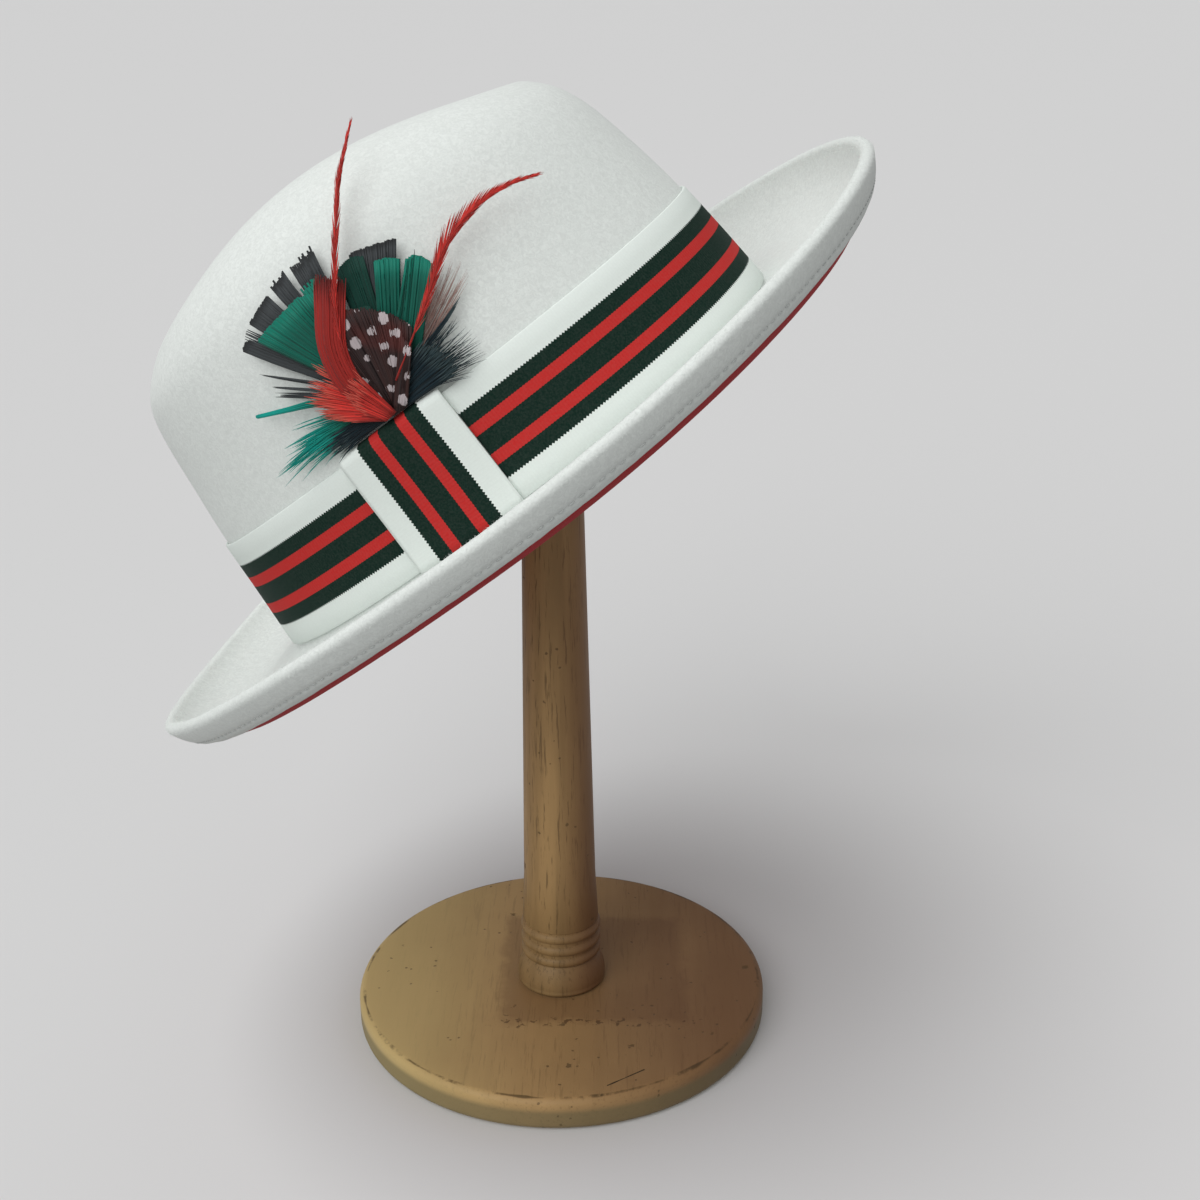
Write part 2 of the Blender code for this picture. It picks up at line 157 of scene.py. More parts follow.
# Wood tones: painted light on one side of the board, painted shade, dark and reddish and also the stain's
# colour, on the other side of both pieces, and darker round the board's side; and the height below which the
# post darkens towards its foot
LIT_SIDE_WOOD = (0.58, 0.44, 0.19)
SHADE_AND_STAIN_WOOD = (0.150, 0.066, 0.030)
DARK_BOARD_SIDE = (0.13, 0.115, 0.060)
DARKER_BELOW = 85 * MM

# Old marks on the board: a square stain round the post's foot, splashed in front, a worn rim and a scratch
STAIN_PLACE = (12.5 * MM, 5.5 * MM)
STAIN_HALF = (39.5 * MM, 40.5 * MM)
STAIN_SOFT = 7.0 * MM
SPLASHED = (33.5 * MM, 41.5 * MM)
WORN_RIM = 79.0 * MM
SCRATCH_PLACE = (25.2 * MM, -66.4 * MM)
SCRATCH_ALONG = (0.822, 0.569)
SCRATCH_HALF = (8.3 * MM, 0.28 * MM)

# How finely the pieces are drawn
ROUND_STEPS = 240
CROWN_STEPS = 6
FILLET_TURNS = (72, 50, 30, 12)
BRIM_STEPS = 14
FOLD_STEPS = 12

# The camera, fitted to the photograph: millimetres of lens and sensor, radians of turn, metres of place
LENS = 51
SENSOR = 36
CAMERA_YAW = 0.011
CAMERA_PITCH = 0.365
CAMERA_ROLL = -0.009
CAMERA_PLACE = (0.023, -0.580, 0.3945)

# Soft lights: where each comes from, its width in the sky in degrees, and its strength
KEY_LIGHT = ((-0.42, -0.70, 0.58), 50, 1.38)
TOP_LIGHT = ((-0.25, -0.10, 0.95), 30, 1.0)
SKY_STRENGTH = 0.36
FLOOR_WIDTH = 200
FLOOR_TONE = 0.70


class HatSizes(bpy.types.PropertyGroup):
    """The hat's and the stand's main sizes."""

    crown_length: bpy.props.FloatProperty(
        name="Crown length",
        description="Front to back at the foot of the crown",
        default=0.2074,
        unit="LENGTH",
    )
    crown_width: bpy.props.FloatProperty(
        name="Crown width", description="Side to side at the foot of the crown", default=0.1734, unit="LENGTH"
    )
    crown_height: bpy.props.FloatProperty(
        name="Crown height",
        description="From the brim to the highest line of the crown",
        default=0.119,
        unit="LENGTH",
    )
    ribbon_width: bpy.props.FloatProperty(
        name="Ribbon width",
        description="Width of the band and of the loop over it",
        default=0.040,
        unit="LENGTH",
    )
    rib_pitch: bpy.props.FloatProperty(
        name="Rib pitch", description="Distance between the ribs of the ribbon", default=0.0011, unit="LENGTH"
    )
    base_diameter: bpy.props.FloatProperty(
        name="Base diameter", description="Across the stand's round base", default=0.160, unit="LENGTH"
    )
    stand_height: bpy.props.FloatProperty(
        name="Stand height",
        description="From the floor to the top of the knob",
        default=0.3473,
        unit="LENGTH",
    )


class HatColours(bpy.types.PropertyGroup):
    """The colours of the felts, the trim and the wood."""

    white_felt: bpy.props.FloatVectorProperty(
        name="White felt", description="Outer felt", default=(0.80, 0.84, 0.81), subtype="COLOR"
    )
    red_felt: bpy.props.FloatVectorProperty(
        name="Red felt", description="Inner felt and sweatband", default=(0.42, 0.022, 0.028), subtype="COLOR"
    )
    ribbon_white: bpy.props.FloatVectorProperty(
        name="Ribbon white", description="Margins of the ribbon", default=(0.80, 0.86, 0.82), subtype="COLOR"
    )
    ribbon_green: bpy.props.FloatVectorProperty(
        name="Ribbon green",
        description="Ground of the ribbon",
        default=(0.002, 0.019, 0.012),
        subtype="COLOR",
    )
    ribbon_red: bpy.props.FloatVectorProperty(
        name="Ribbon red", description="Stripes of the ribbon", default=(0.56, 0.026, 0.024), subtype="COLOR"
    )
    teal: bpy.props.FloatVectorProperty(
        name="Teal feathers",
        description="Dyed green-blue feathers",
        default=(0.0, 0.105, 0.072),
        subtype="COLOR",
    )
    slate: bpy.props.FloatVectorProperty(
        name="Slate feathers",
        description="Dark grey cut feathers",
        default=(0.042, 0.048, 0.051),
        subtype="COLOR",
    )
    hackle_red: bpy.props.FloatVectorProperty(
        name="Red hackles", description="Dyed red feathers", default=(0.52, 0.030, 0.022), subtype="COLOR"
    )
    wood: bpy.props.FloatVectorProperty(
        name="Wood", description="Light wood of the stand", default=(0.45, 0.285, 0.122), subtype="COLOR"
    )


def sizes():
    return bpy.context.scene.hat_sizes


def colours():
    return bpy.context.scene.hat_colours


# Shape of the hat


def blend_round(angles, field):
    """One measure of the brim, running smoothly from the back, at angle 0, over the side to the front."""
    along = np.cos(angles)
    end = np.where(along > 0, BRIM_BACK[field], BRIM_FRONT[field])
    return BRIM_SIDE[field] + (end - BRIM_SIDE[field]) * along**2


def curve_point(table, slopes, k, t):
    """A point of the smooth curve from row k of a table to the next, a share t of the way."""
    place = (2 * t**3 - 3 * t**2 + 1) * table[k] + (3 * t**2 - 2 * t**3) * table[k + 1]
    return place + ((t**3 - 2 * t**2 + t) * slopes[k] + (t**3 - t**2) * slopes[k + 1])


def smooth_rows(table, steps):
    """A table of sections with more rows between, on smooth curves through its own rows."""
    slopes = np.gradient(table, axis=0)
    slopes[-1, 0] = slopes[-1, 4] = 0
    shares = np.arange(steps) / steps
    rows = [curve_point(table, slopes, k, t) for k in range(len(table) - 1) for t in shares]
    return np.array(rows + [table[-1]])


def read_between(at, places, table):
    """Rows of a table, read between the places where its own rows stand."""
    return np.stack([np.interp(at, places, column) for column in np.transpose(table)], axis=-1)


FINE_ROWS = smooth_rows(CROWN_ROWS, CROWN_STEPS)
FINE_WALL = FINE_ROWS[: (WALL_ROWS - 1) * CROWN_STEPS + 1]


def front_dip(angles):
    return FRONT_DIP * np.maximum(0.0, -np.cos(angles)) ** 2


def crown_point(section, angles):
    """Points of the felt's outer face: a section of the crown, or several, by angle."""
    height, length, width, shift, droop = section
    size = sizes()
    x = size.crown_length * (shift + length / 2 * np.cos(angles))
    y = size.crown_width * width / 2 * np.sin(angles)
    z = size.crown_height * (height - droop * np.cos(angles) ** 2) - front_dip(angles) * (1 - height)
    return np.stack(np.broadcast_arrays(x, y, z), axis=-1)


def plan_normal(angles):
    """The outward direction, in plan, of the crown's oval."""
    size = sizes()
    x, y = np.cos(angles) / size.crown_length, np.sin(angles) / size.crown_width
    length = np.hypot(x, y)
    return np.stack((x / length, y / length, np.zeros_like(length)), axis=-1)


def wall_point(heights, angles, offsets):
    """Points off the crown's side at heights, moved straight out from the felt's face by offsets."""
    heights, angles, offsets = np.broadcast_arrays(heights, angles, offsets)
    shares = heights / sizes().crown_height
    section = [np.interp(shares, FINE_WALL[:, 0], FINE_WALL[:, k]) for k in range(1, 5)]
    return crown_point([shares, *section], angles) + plan_normal(angles) * offsets[..., None]


def brim_point(angles, travelled):
    """Points of the brim's upper face, at distances along the felt from the foot of the crown."""
    width, fall, curl, dip = (blend_round(angles, field) for field in range(4))
    fall, curl = np.radians(fall), np.radians(curl)
    straight = np.minimum(travelled, CURL_START * width)
    radius = (1 - CURL_START) * width / (fall + curl)
    slope = (travelled - straight) / radius - fall
    reach = straight * np.cos(fall) + radius * (np.sin(slope) + np.sin(fall))
    rise = -straight * np.sin(fall) + radius * (np.cos(fall) - np.cos(slope))
    point = crown_point(CROWN_ROWS[0], angles) + plan_normal(angles) * reach[..., None]
    point[..., 2] = rise - front_dip(angles) + dip * point[..., 1] * travelled / width
    return point


def round_angles(steps):
    return np.linspace(0, 2 * np.pi, steps + 1)


def felt_face(angles):
    """The hat's upper face and its normals, in rows from the middle of the dent to the brim's edge."""
    rows = [crown_point(row, angles) for row in FINE_ROWS[::-1]]
    for turn in np.radians(FILLET_TURNS):
        row = brim_point(angles, np.full_like(angles, ROOT_FILLET * (1 - math.sin(turn))))
        row[:, 2] += ROOT_FILLET * (1 - math.cos(turn))
        rows.append(row)
    width = blend_round(angles, 0)
    for share in np.linspace(0, 1, BRIM_STEPS + 1)[:-1]:
        rows.append(brim_point(angles, ROOT_FILLET + share * (width - WELT_WIDTH - ROOT_FILLET)))
    for share in np.linspace(0, 1, WELT_STEPS + 1):
        rows.append(brim_point(angles, width - WELT_WIDTH * (1 - share)))
    face = np.array(rows)
    outward = np.gradient(face, axis=0)
    around = np.empty_like(face)
    around[:, 1:-1] = face[:, 2:] - face[:, :-2]
    around[:, 0] = around[:, -1] = face[:, 1] - face[:, -2]
    normals = np.cross(outward, around)
    normals /= np.maximum(np.linalg.norm(normals, axis=2, keepdims=True), 1e-12)
    normals[0] = (0, 0, 1)
    return face, normals


def edge_fold(face, normals, radius, steps):
    """Rows round the brim's edge, half a turn about the middle of the folded thickness."""
    outward = face[-1] - face[-2]
    outward /= np.linalg.norm(outward, axis=1, keepdims=True)
    centre = face[-1] - normals[-1] * FOLDED / 2
    turns = np.linspace(0, np.pi, steps + 1)
    return [centre + radius * (math.cos(t) * normals[-1] + math.sin(t) * outward) for t in turns]


def ripple(angles, waves):
    """A smooth unevenness round the hat, from a table of waves: about how many, a seed, and their height."""
    total = 0
    for count, seed, height in waves:
        places = np.stack((np.cos(angles), np.sin(angles)), axis=-1) * count / (2 * np.pi)
        total = total + np.array([noise.noise(Vector((x, y, seed))) for x, y in places]) * height
    return total


def on_stand(points):
    """Points of the hat's own frame, put where the hat sits on its stand."""
    turn = Matrix.Rotation(-math.radians(HAT_TILT), 4, "Y") @ Matrix.Rotation(math.radians(HAT_LEAN), 4, "X")
    matrix = np.array(Matrix.Translation(HAT_PLACE) @ turn)
    return points @ matrix[:3, :3].T + matrix[:3, 3]


# Making pieces


def edit(piece, *steps):
    """Runs edit-mode steps on all of a piece."""
    bpy.ops.object.select_all(action="DESELECT")
    bpy.context.view_layer.objects.active = piece
    piece.select_set(True)
    bpy.ops.object.mode_set(mode="EDIT")
    bpy.ops.mesh.select_all(action="SELECT")
    for step in steps:
        step()
    bpy.ops.object.mode_set(mode="OBJECT")


def sew():
    bpy.ops.mesh.remove_doubles(threshold=0.00001)


def fill_ends():
    bpy.ops.mesh.fill_holes(sides=0)


def face_outwards():
    bpy.ops.mesh.select_all(action="SELECT")
    bpy.ops.mesh.normals_make_consistent(inside=False)


def piece_of(name, points, edges, faces):
    """A new piece from its points, and the edges or faces between them."""
    mesh = bpy.data.meshes.new(name)
    mesh.from_pydata(points, edges, faces)
    piece = bpy.data.objects.new(name, mesh)
    bpy.context.scene.collection.objects.link(piece)
    return piece


def lay_map(mesh, layer, places):
    """Fills a UV map from one place for each point of the mesh."""
    corner = np.empty(len(mesh.loops), np.int32)
    mesh.loops.foreach_get("vertex_index", corner)
    layer.uv.foreach_set("vector", places[corner].astype(np.float32).ravel())


def wrapped(name, rows, across=None, along=None):
    """A grid primitive laid on rows of points, sewn where its edges meet, with a UV map along and across."""
    count, length = rows.shape[:2]
    bpy.ops.object.select_all(action="DESELECT")
    bpy.ops.mesh.primitive_grid_add(x_subdivisions=length - 1, y_subdivisions=count - 1, size=1)
    piece = bpy.context.object
    piece.name = piece.data.name = name
    piece.data.vertices.foreach_set("co", rows.astype(np.float32).ravel())
    if across is not None:
        flat = np.stack(np.broadcast_arrays(along, across), axis=-1).reshape(-1, 2)
        lay_map(piece.data, piece.data.uv_layers[0], flat)
    edit(piece, sew, fill_ends, face_outwards)
    piece.data.shade_smooth()
    return piece


def finish_piece(piece, material, slot, *nodes):
    """Gives a piece its material and its body, and lets it stand for its CAD nodes."""
    piece.data.materials.clear()
    piece.data.materials.append(material)
    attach(piece, "root")
    if nodes:
        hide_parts(*nodes)


# Materials


class Wire:
    """A socket of a material's nodes, so that a pattern can be written as plain maths."""

    def __init__(self, paint, socket):
        self.paint = paint
        self.socket = socket

    def math(self, operation, *values):
        return self.paint.node("ShaderNodeMath", {"operation": operation}, dict(enumerate(values)))

    def __add__(self, other):
        return self.math("ADD", self, other)

    def __radd__(self, other):
        return self.math("ADD", other, self)

    def __sub__(self, other):
        return self.math("SUBTRACT", self, other)

    def __rsub__(self, other):
        return self.math("SUBTRACT", other, self)

    def __mul__(self, other):
        return self.math("MULTIPLY", self, other)

    def __rmul__(self, other):
        return self.math("MULTIPLY", other, self)

    def __lt__(self, other):
        return self.math("LESS_THAN", self, other)

    def __gt__(self, other):
        return self.math("GREATER_THAN", self, other)

    def power(self, other):
        return self.math("POWER", self, other)

    def sine(self):
        return self.math("SINE", self)

    def size(self):
        return self.math("ABSOLUTE", self)

    def wave(self, period):
        """A triangle wave between 0 and half the period."""
        return self.math("PINGPONG", self, period / 2)

    def ramp(self, low, high):
        """0 below low, 1 above high, and smooth between."""
        values = {0: self, 1: low, 2: high}
        return self.paint.node("ShaderNodeMapRange", {"interpolation_type": "SMOOTHSTEP"}, values)


class Paint:
    """A new material with short ways to wire its nodes."""

    def __init__(self, name, **constants):
        self.material = bpy.data.materials.new(name)
        self.material.use_nodes = True
        self.tree = self.material.node_tree
        self.shader = self.tree.nodes["Principled BSDF"]
        for field, value in constants.items():
            self.shader.inputs[field.replace("_", " ")].default_value = value

    def node(self, kind, settings, values, output=0):
        made = self.tree.nodes.new(kind)
        for field, value in settings.items():
            setattr(made, field, value)
        for place, value in values.items():
            if isinstance(value, Wire):
                self.tree.links.new(value.socket, made.inputs[place])
            else:
                made.inputs[place].default_value = value
        return Wire(self, made.outputs[output])

    def place(self, scale=(1, 1, 1), turn=(0, 0, 0)):
        """Object coordinates, turned and scaled."""
        where = self.node("ShaderNodeTexCoord", {}, {}, 3)
        return self.node("ShaderNodeMapping", {}, {0: where, 2: turn, 3: scale})

    def uv(self):
        """The piece's own map, as its two parts."""
        return self.parts(self.node("ShaderNodeTexCoord", {}, {}, 2))[:2]

    def parts(self, where):
        split = self.node("ShaderNodeSeparateXYZ", {}, {0: where})
        return [Wire(self, socket) for socket in split.socket.node.outputs]

    def noise(self, where, scale, detail=3.0, roughness=0.5, distortion=0.0):
        values = {"Vector": where, "Scale": scale, "Detail": detail}
        values |= {"Roughness": roughness, "Distortion": distortion}
        return self.node("ShaderNodeTexNoise", {}, values)

    def cells(self, where, scale, randomness=1.0):
        """Distance to the nearest of many scattered points."""
        values = {"Vector": where, "Scale": scale, "Randomness": randomness}
        return self.node("ShaderNodeTexVoronoi", {}, values)

    def mix(self, share, low, high):
        """A colour between two."""
        low, high = (c if isinstance(c, Wire) else (*c, 1.0) for c in (low, high))
        values = {0: share, 6: low, 7: high}
        return self.node("ShaderNodeMix", {"data_type": "RGBA"}, values, 2)

    def bump(self, height, depth, strength):
        return self.node("ShaderNodeBump", {}, {"Height": height, "Distance": depth, "Strength": strength})

    def feed(self, **links):
        """Wires the shader's own sockets, and gives the finished material."""
        for field, value in links.items():
            self.tree.links.new(value.socket, self.shader.inputs[field.replace("_", " ")])
        return self.material


def shade(colour, factor):
    return tuple(min(1.0, c * factor) for c in colour)


def felt_paint(name, colour, speck_share, nap):
    """Wool felt: matted fibres, faint clouds of tone, a soft nap and a few dark specks."""
    paint = Paint(name, Sheen_Weight=nap, Sheen_Roughness=0.6, Specular_IOR_Level=0.15)
    where = paint.place()
    fibres = paint.noise(where, 700, 6, 0.65, 1.2)
    matted = paint.noise(where, 190, 5, 0.6, 0.6)
    clouds = paint.noise(where, 16, 3, 0.5)
    tone = paint.mix(fibres.ramp(0.35, 0.68), shade(colour, 0.90), shade(colour, 1.03))
    tone = paint.mix(clouds.ramp(0.3, 0.75) * 0.22, tone, shade(colour, 0.90))
    speck = (paint.cells(where, 28) < speck_share) * (paint.noise(where, 9, 0) > 0.50)
    tone = paint.mix(speck * 0.65, tone, (0.12, 0.10, 0.08))
    height = fibres * 0.6 + matted
    return paint.feed(
        Base_Color=tone,
        Roughness=0.90 + fibres * 0.08,
        Normal=paint.bump(height, 0.35 * MM, 0.55),
    )


def ribbon_paint(name):
    """Ribbed ribbon: white margins, a dark green ground and two red stripes, with ragged colour edges."""
    paint = Paint(name, Sheen_Weight=0.0, Specular_IOR_Level=0.12)
    along, across = paint.uv()
    pitch = sizes().rib_pitch / sizes().ribbon_width
    rib = along.wave(pitch) * (2 / pitch)
    off_centre = (across - 0.5).size()
    ground = off_centre + (rib - 0.5) * 0.014 < RIBBON_GROUND
    ragged = off_centre + (rib - 0.5) * 0.005
    stripe = (ragged > RIBBON_STRIPE[0]) * (ragged < RIBBON_STRIPE[1])
    threads = paint.noise(paint.place(), 1500, 4, 0.6)
    tone = paint.mix(ground, colours().ribbon_white, colours().ribbon_green)
    tone = paint.mix(stripe, tone, colours().ribbon_red)
    tone = paint.mix(threads.ramp(0.3, 0.7) * 0.05, tone, (0.30, 0.30, 0.28))
    # Painted shade: the ribs' grooves are darkened, more on the green ground
    tone = paint.mix(rib.power(3) * (0.015 + ground * 0.06), tone, (0.0, 0.0, 0.0))
    selvedge = (off_centre - 0.5).size() < SELVEDGE
    height = (1 - rib) * (0.07 + ground * 0.28) + threads * 0.25 - selvedge * 0.5
    return paint.feed(
        Base_Color=tone,
        Roughness=0.66 + threads * 0.15,
        Normal=paint.bump(height, 0.20 * MM, 0.5),
    )


def feather_paint(name, colour, tip, tip_start=0.8, root=0.35, gloss=0.45, contrast=1.0):
    """Dyed barbs: darker at the root, another colour at the tips, and each a little lighter or darker."""
    paint = Paint(name, Sheen_Weight=0.04, Specular_IOR_Level=0.25)
    tint, along = paint.uv()
    tone = paint.mix(along.ramp(0.0, 0.45), shade(colour, root), colour)
    tone = paint.mix(tint.ramp(0.25, 1.0) * (0.6 * contrast), tone, shade(colour, 1.7))
    tone = paint.mix((0.45 - tint).ramp(0.0, 0.45) * (0.55 * contrast), tone, shade(colour, 0.35))
    tone = paint.mix(along.ramp(tip_start, 1.0), tone, tip)
    return paint.feed(Base_Color=tone, Roughness=gloss + tint * 0.2)


def guinea_paint(name):
    """Dark brown barbs with rows of round white dots."""
    paint = Paint(name, Specular_IOR_Level=0.35)
    tint, along = paint.uv()
    where = paint.place(turn=(0, math.radians(HAT_TILT), 0))
    x, _, z = paint.parts(where)
    flat = paint.node("ShaderNodeCombineXYZ", {}, {0: x, 1: z})
    ragged = paint.cells(flat, DOTS_PER_METRE, 0.30) + (tint - 0.5) * 0.16
    tone = paint.mix(tint, (0.013, 0.005, 0.005), (0.036, 0.011, 0.009))
    tone = paint.mix(paint.noise(flat, 75, 2).ramp(0.5, 0.7) * 0.6, tone, (0.095, 0.014, 0.011))
    tone = paint.mix(ragged < DOT_RADIUS, tone, (0.46, 0.40, 0.41))
    return paint.feed(Base_Color=tone, Roughness=0.5 + tint * 0.2)


def wood_paint(name, along_axis, reach, stained):
    """Worn, varnished light wood: fine grain, dark pores, dents and specks, painted shade on one side, and
    painted light on the board's other side or a darker foot on the post.
    """
    paint = Paint(name, Coat_Weight=0.03, Coat_Roughness=0.4, Specular_IOR_Level=0.2)
    colour = colours().wood
    scale = [1.0, 1.0, 1.0]
    scale[along_axis] = 0.06
    where = paint.place(scale=scale)
    plain = paint.place()
    x, y, z = paint.parts(plain)
    bands = paint.noise(where, 130, 4, 0.55, 0.4)
    pores = paint.noise(where, 900, 3, 0.7)
    blotch = paint.noise(plain, 14, 4, 0.6)
    grain = 0.30 if stained else 0.75
    tone = paint.mix(bands.ramp(0.32, 0.70) * grain, shade(colour, 1.06), shade(colour, 0.66))
    tone = paint.mix(blotch.ramp(0.35, 0.75) * 0.45, tone, shade(colour, 0.76))
    tone = paint.mix((pores - 0.55).ramp(0.0, 0.10) * grain, tone, shade(colour, 0.38))
    # across runs from the painted light side at -X to the painted shade side at +X, with some wobble
    across = x + (blotch - 0.5) * reach * 0.4
    if stained:
        # Painted light: the board is lighter towards -X, where the light comes from
        tone = paint.mix((-0.1 * reach - across).ramp(0.0, 0.8 * reach) * 0.8, tone, LIT_SIDE_WOOD)
    else:
        tone = paint.mix((DARKER_BELOW - z).ramp(0.0, 0.065) * 0.55, tone, shade(colour, 0.30))
    # Painted shade: both pieces are darker and reddish towards +X, away from the light
    tone = paint.mix(across.ramp(-0.3 * reach, 0.95 * reach) * 0.80, tone, SHADE_AND_STAIN_WOOD)
    dents = paint.cells(plain, 75) + (paint.noise(plain, 420, 3) - 0.5) * 0.35
    dents = (0.10 - dents).ramp(0.0, 0.05) * (blotch > 0.50)
    specks = paint.cells(plain, 210) + (paint.noise(plain, 900, 2) - 0.5) * 0.3
    specks = (0.13 - specks).ramp(0.0, 0.05) * (paint.noise(plain, 40, 2) > 0.54)
    if stained:
        tone = board_marks(paint, tone, plain, x, y, z)
    tone = paint.mix(dents * 0.7, tone, shade(colour, 0.22))
    tone = paint.mix(specks * 0.6, tone, shade(colour, 0.16))
    return paint.feed(
        Base_Color=tone,
        Roughness=0.42 + bands * 0.2 + dents * 0.2,
        Normal=paint.bump(bands * 0.4 + pores * 0.4 - dents - specks, 0.20 * MM, 0.5),
    )


def board_marks(paint, tone, plain, x, y, z):
    """The board's old marks over its tone: the stain, splashes along its front, a worn rim and a scratch."""
    colour = colours().wood
    wobble = (paint.noise(plain, 110, 4, 0.6) - 0.5) * (12 * MM)
    half_x = (x - STAIN_PLACE[0]).size() + wobble
    half_y = (y - STAIN_PLACE[1]).size() + wobble
    inside = (STAIN_HALF[0] - half_x).ramp(0.0, STAIN_SOFT) * (STAIN_HALF[1] - half_y).ramp(0.0, STAIN_SOFT)
    tone = paint.mix(inside * (z > 10 * MM) * 0.40, tone, shade(SHADE_AND_STAIN_WOOD, 0.9))
    front = (half_y - SPLASHED[0]).ramp(0.0, 3 * MM) * (SPLASHED[1] - half_y).ramp(0.0, 3 * MM) * (y < 0)
    spots = (paint.noise(plain, 300, 4, 0.6) - 0.56).ramp(0.0, 0.05)
    tone = paint.mix(front * (half_x < 42 * MM) * spots * 0.65, tone, shade(SHADE_AND_STAIN_WOOD, 0.35))
    from_middle = paint.node("ShaderNodeVectorMath", {"operation": "LENGTH"}, {0: plain}, 1)
    rim = (from_middle - WORN_RIM).size() + (paint.noise(plain, 90, 3) - 0.5) * (2.2 * MM)
    patches = paint.noise(plain, 55, 5, 0.7).ramp(0.44, 0.56)
    worn = (0.7 * MM - rim).ramp(0.0, 0.6 * MM) * (z > 4 * MM) * patches
    tone = paint.mix(worn * 0.75, tone, shade(colour, 0.13))
    # Darker round the board's side, below 10 mm up
    tone = paint.mix((10 * MM - z).ramp(0.0, 3 * MM) * 0.62, tone, DARK_BOARD_SIDE)
    x, y = x - SCRATCH_PLACE[0], y - SCRATCH_PLACE[1]
    off_line = (x * SCRATCH_ALONG[1] - y * SCRATCH_ALONG[0]).size() + wobble * 0.05
    along = (x * SCRATCH_ALONG[0] + y * SCRATCH_ALONG[1]).size()
    scratch = (off_line < SCRATCH_HALF[1]) * (along < SCRATCH_HALF[0]) * (z > 12 * MM)
    return paint.mix(scratch, tone, shade(colour, 0.10))


# Pieces


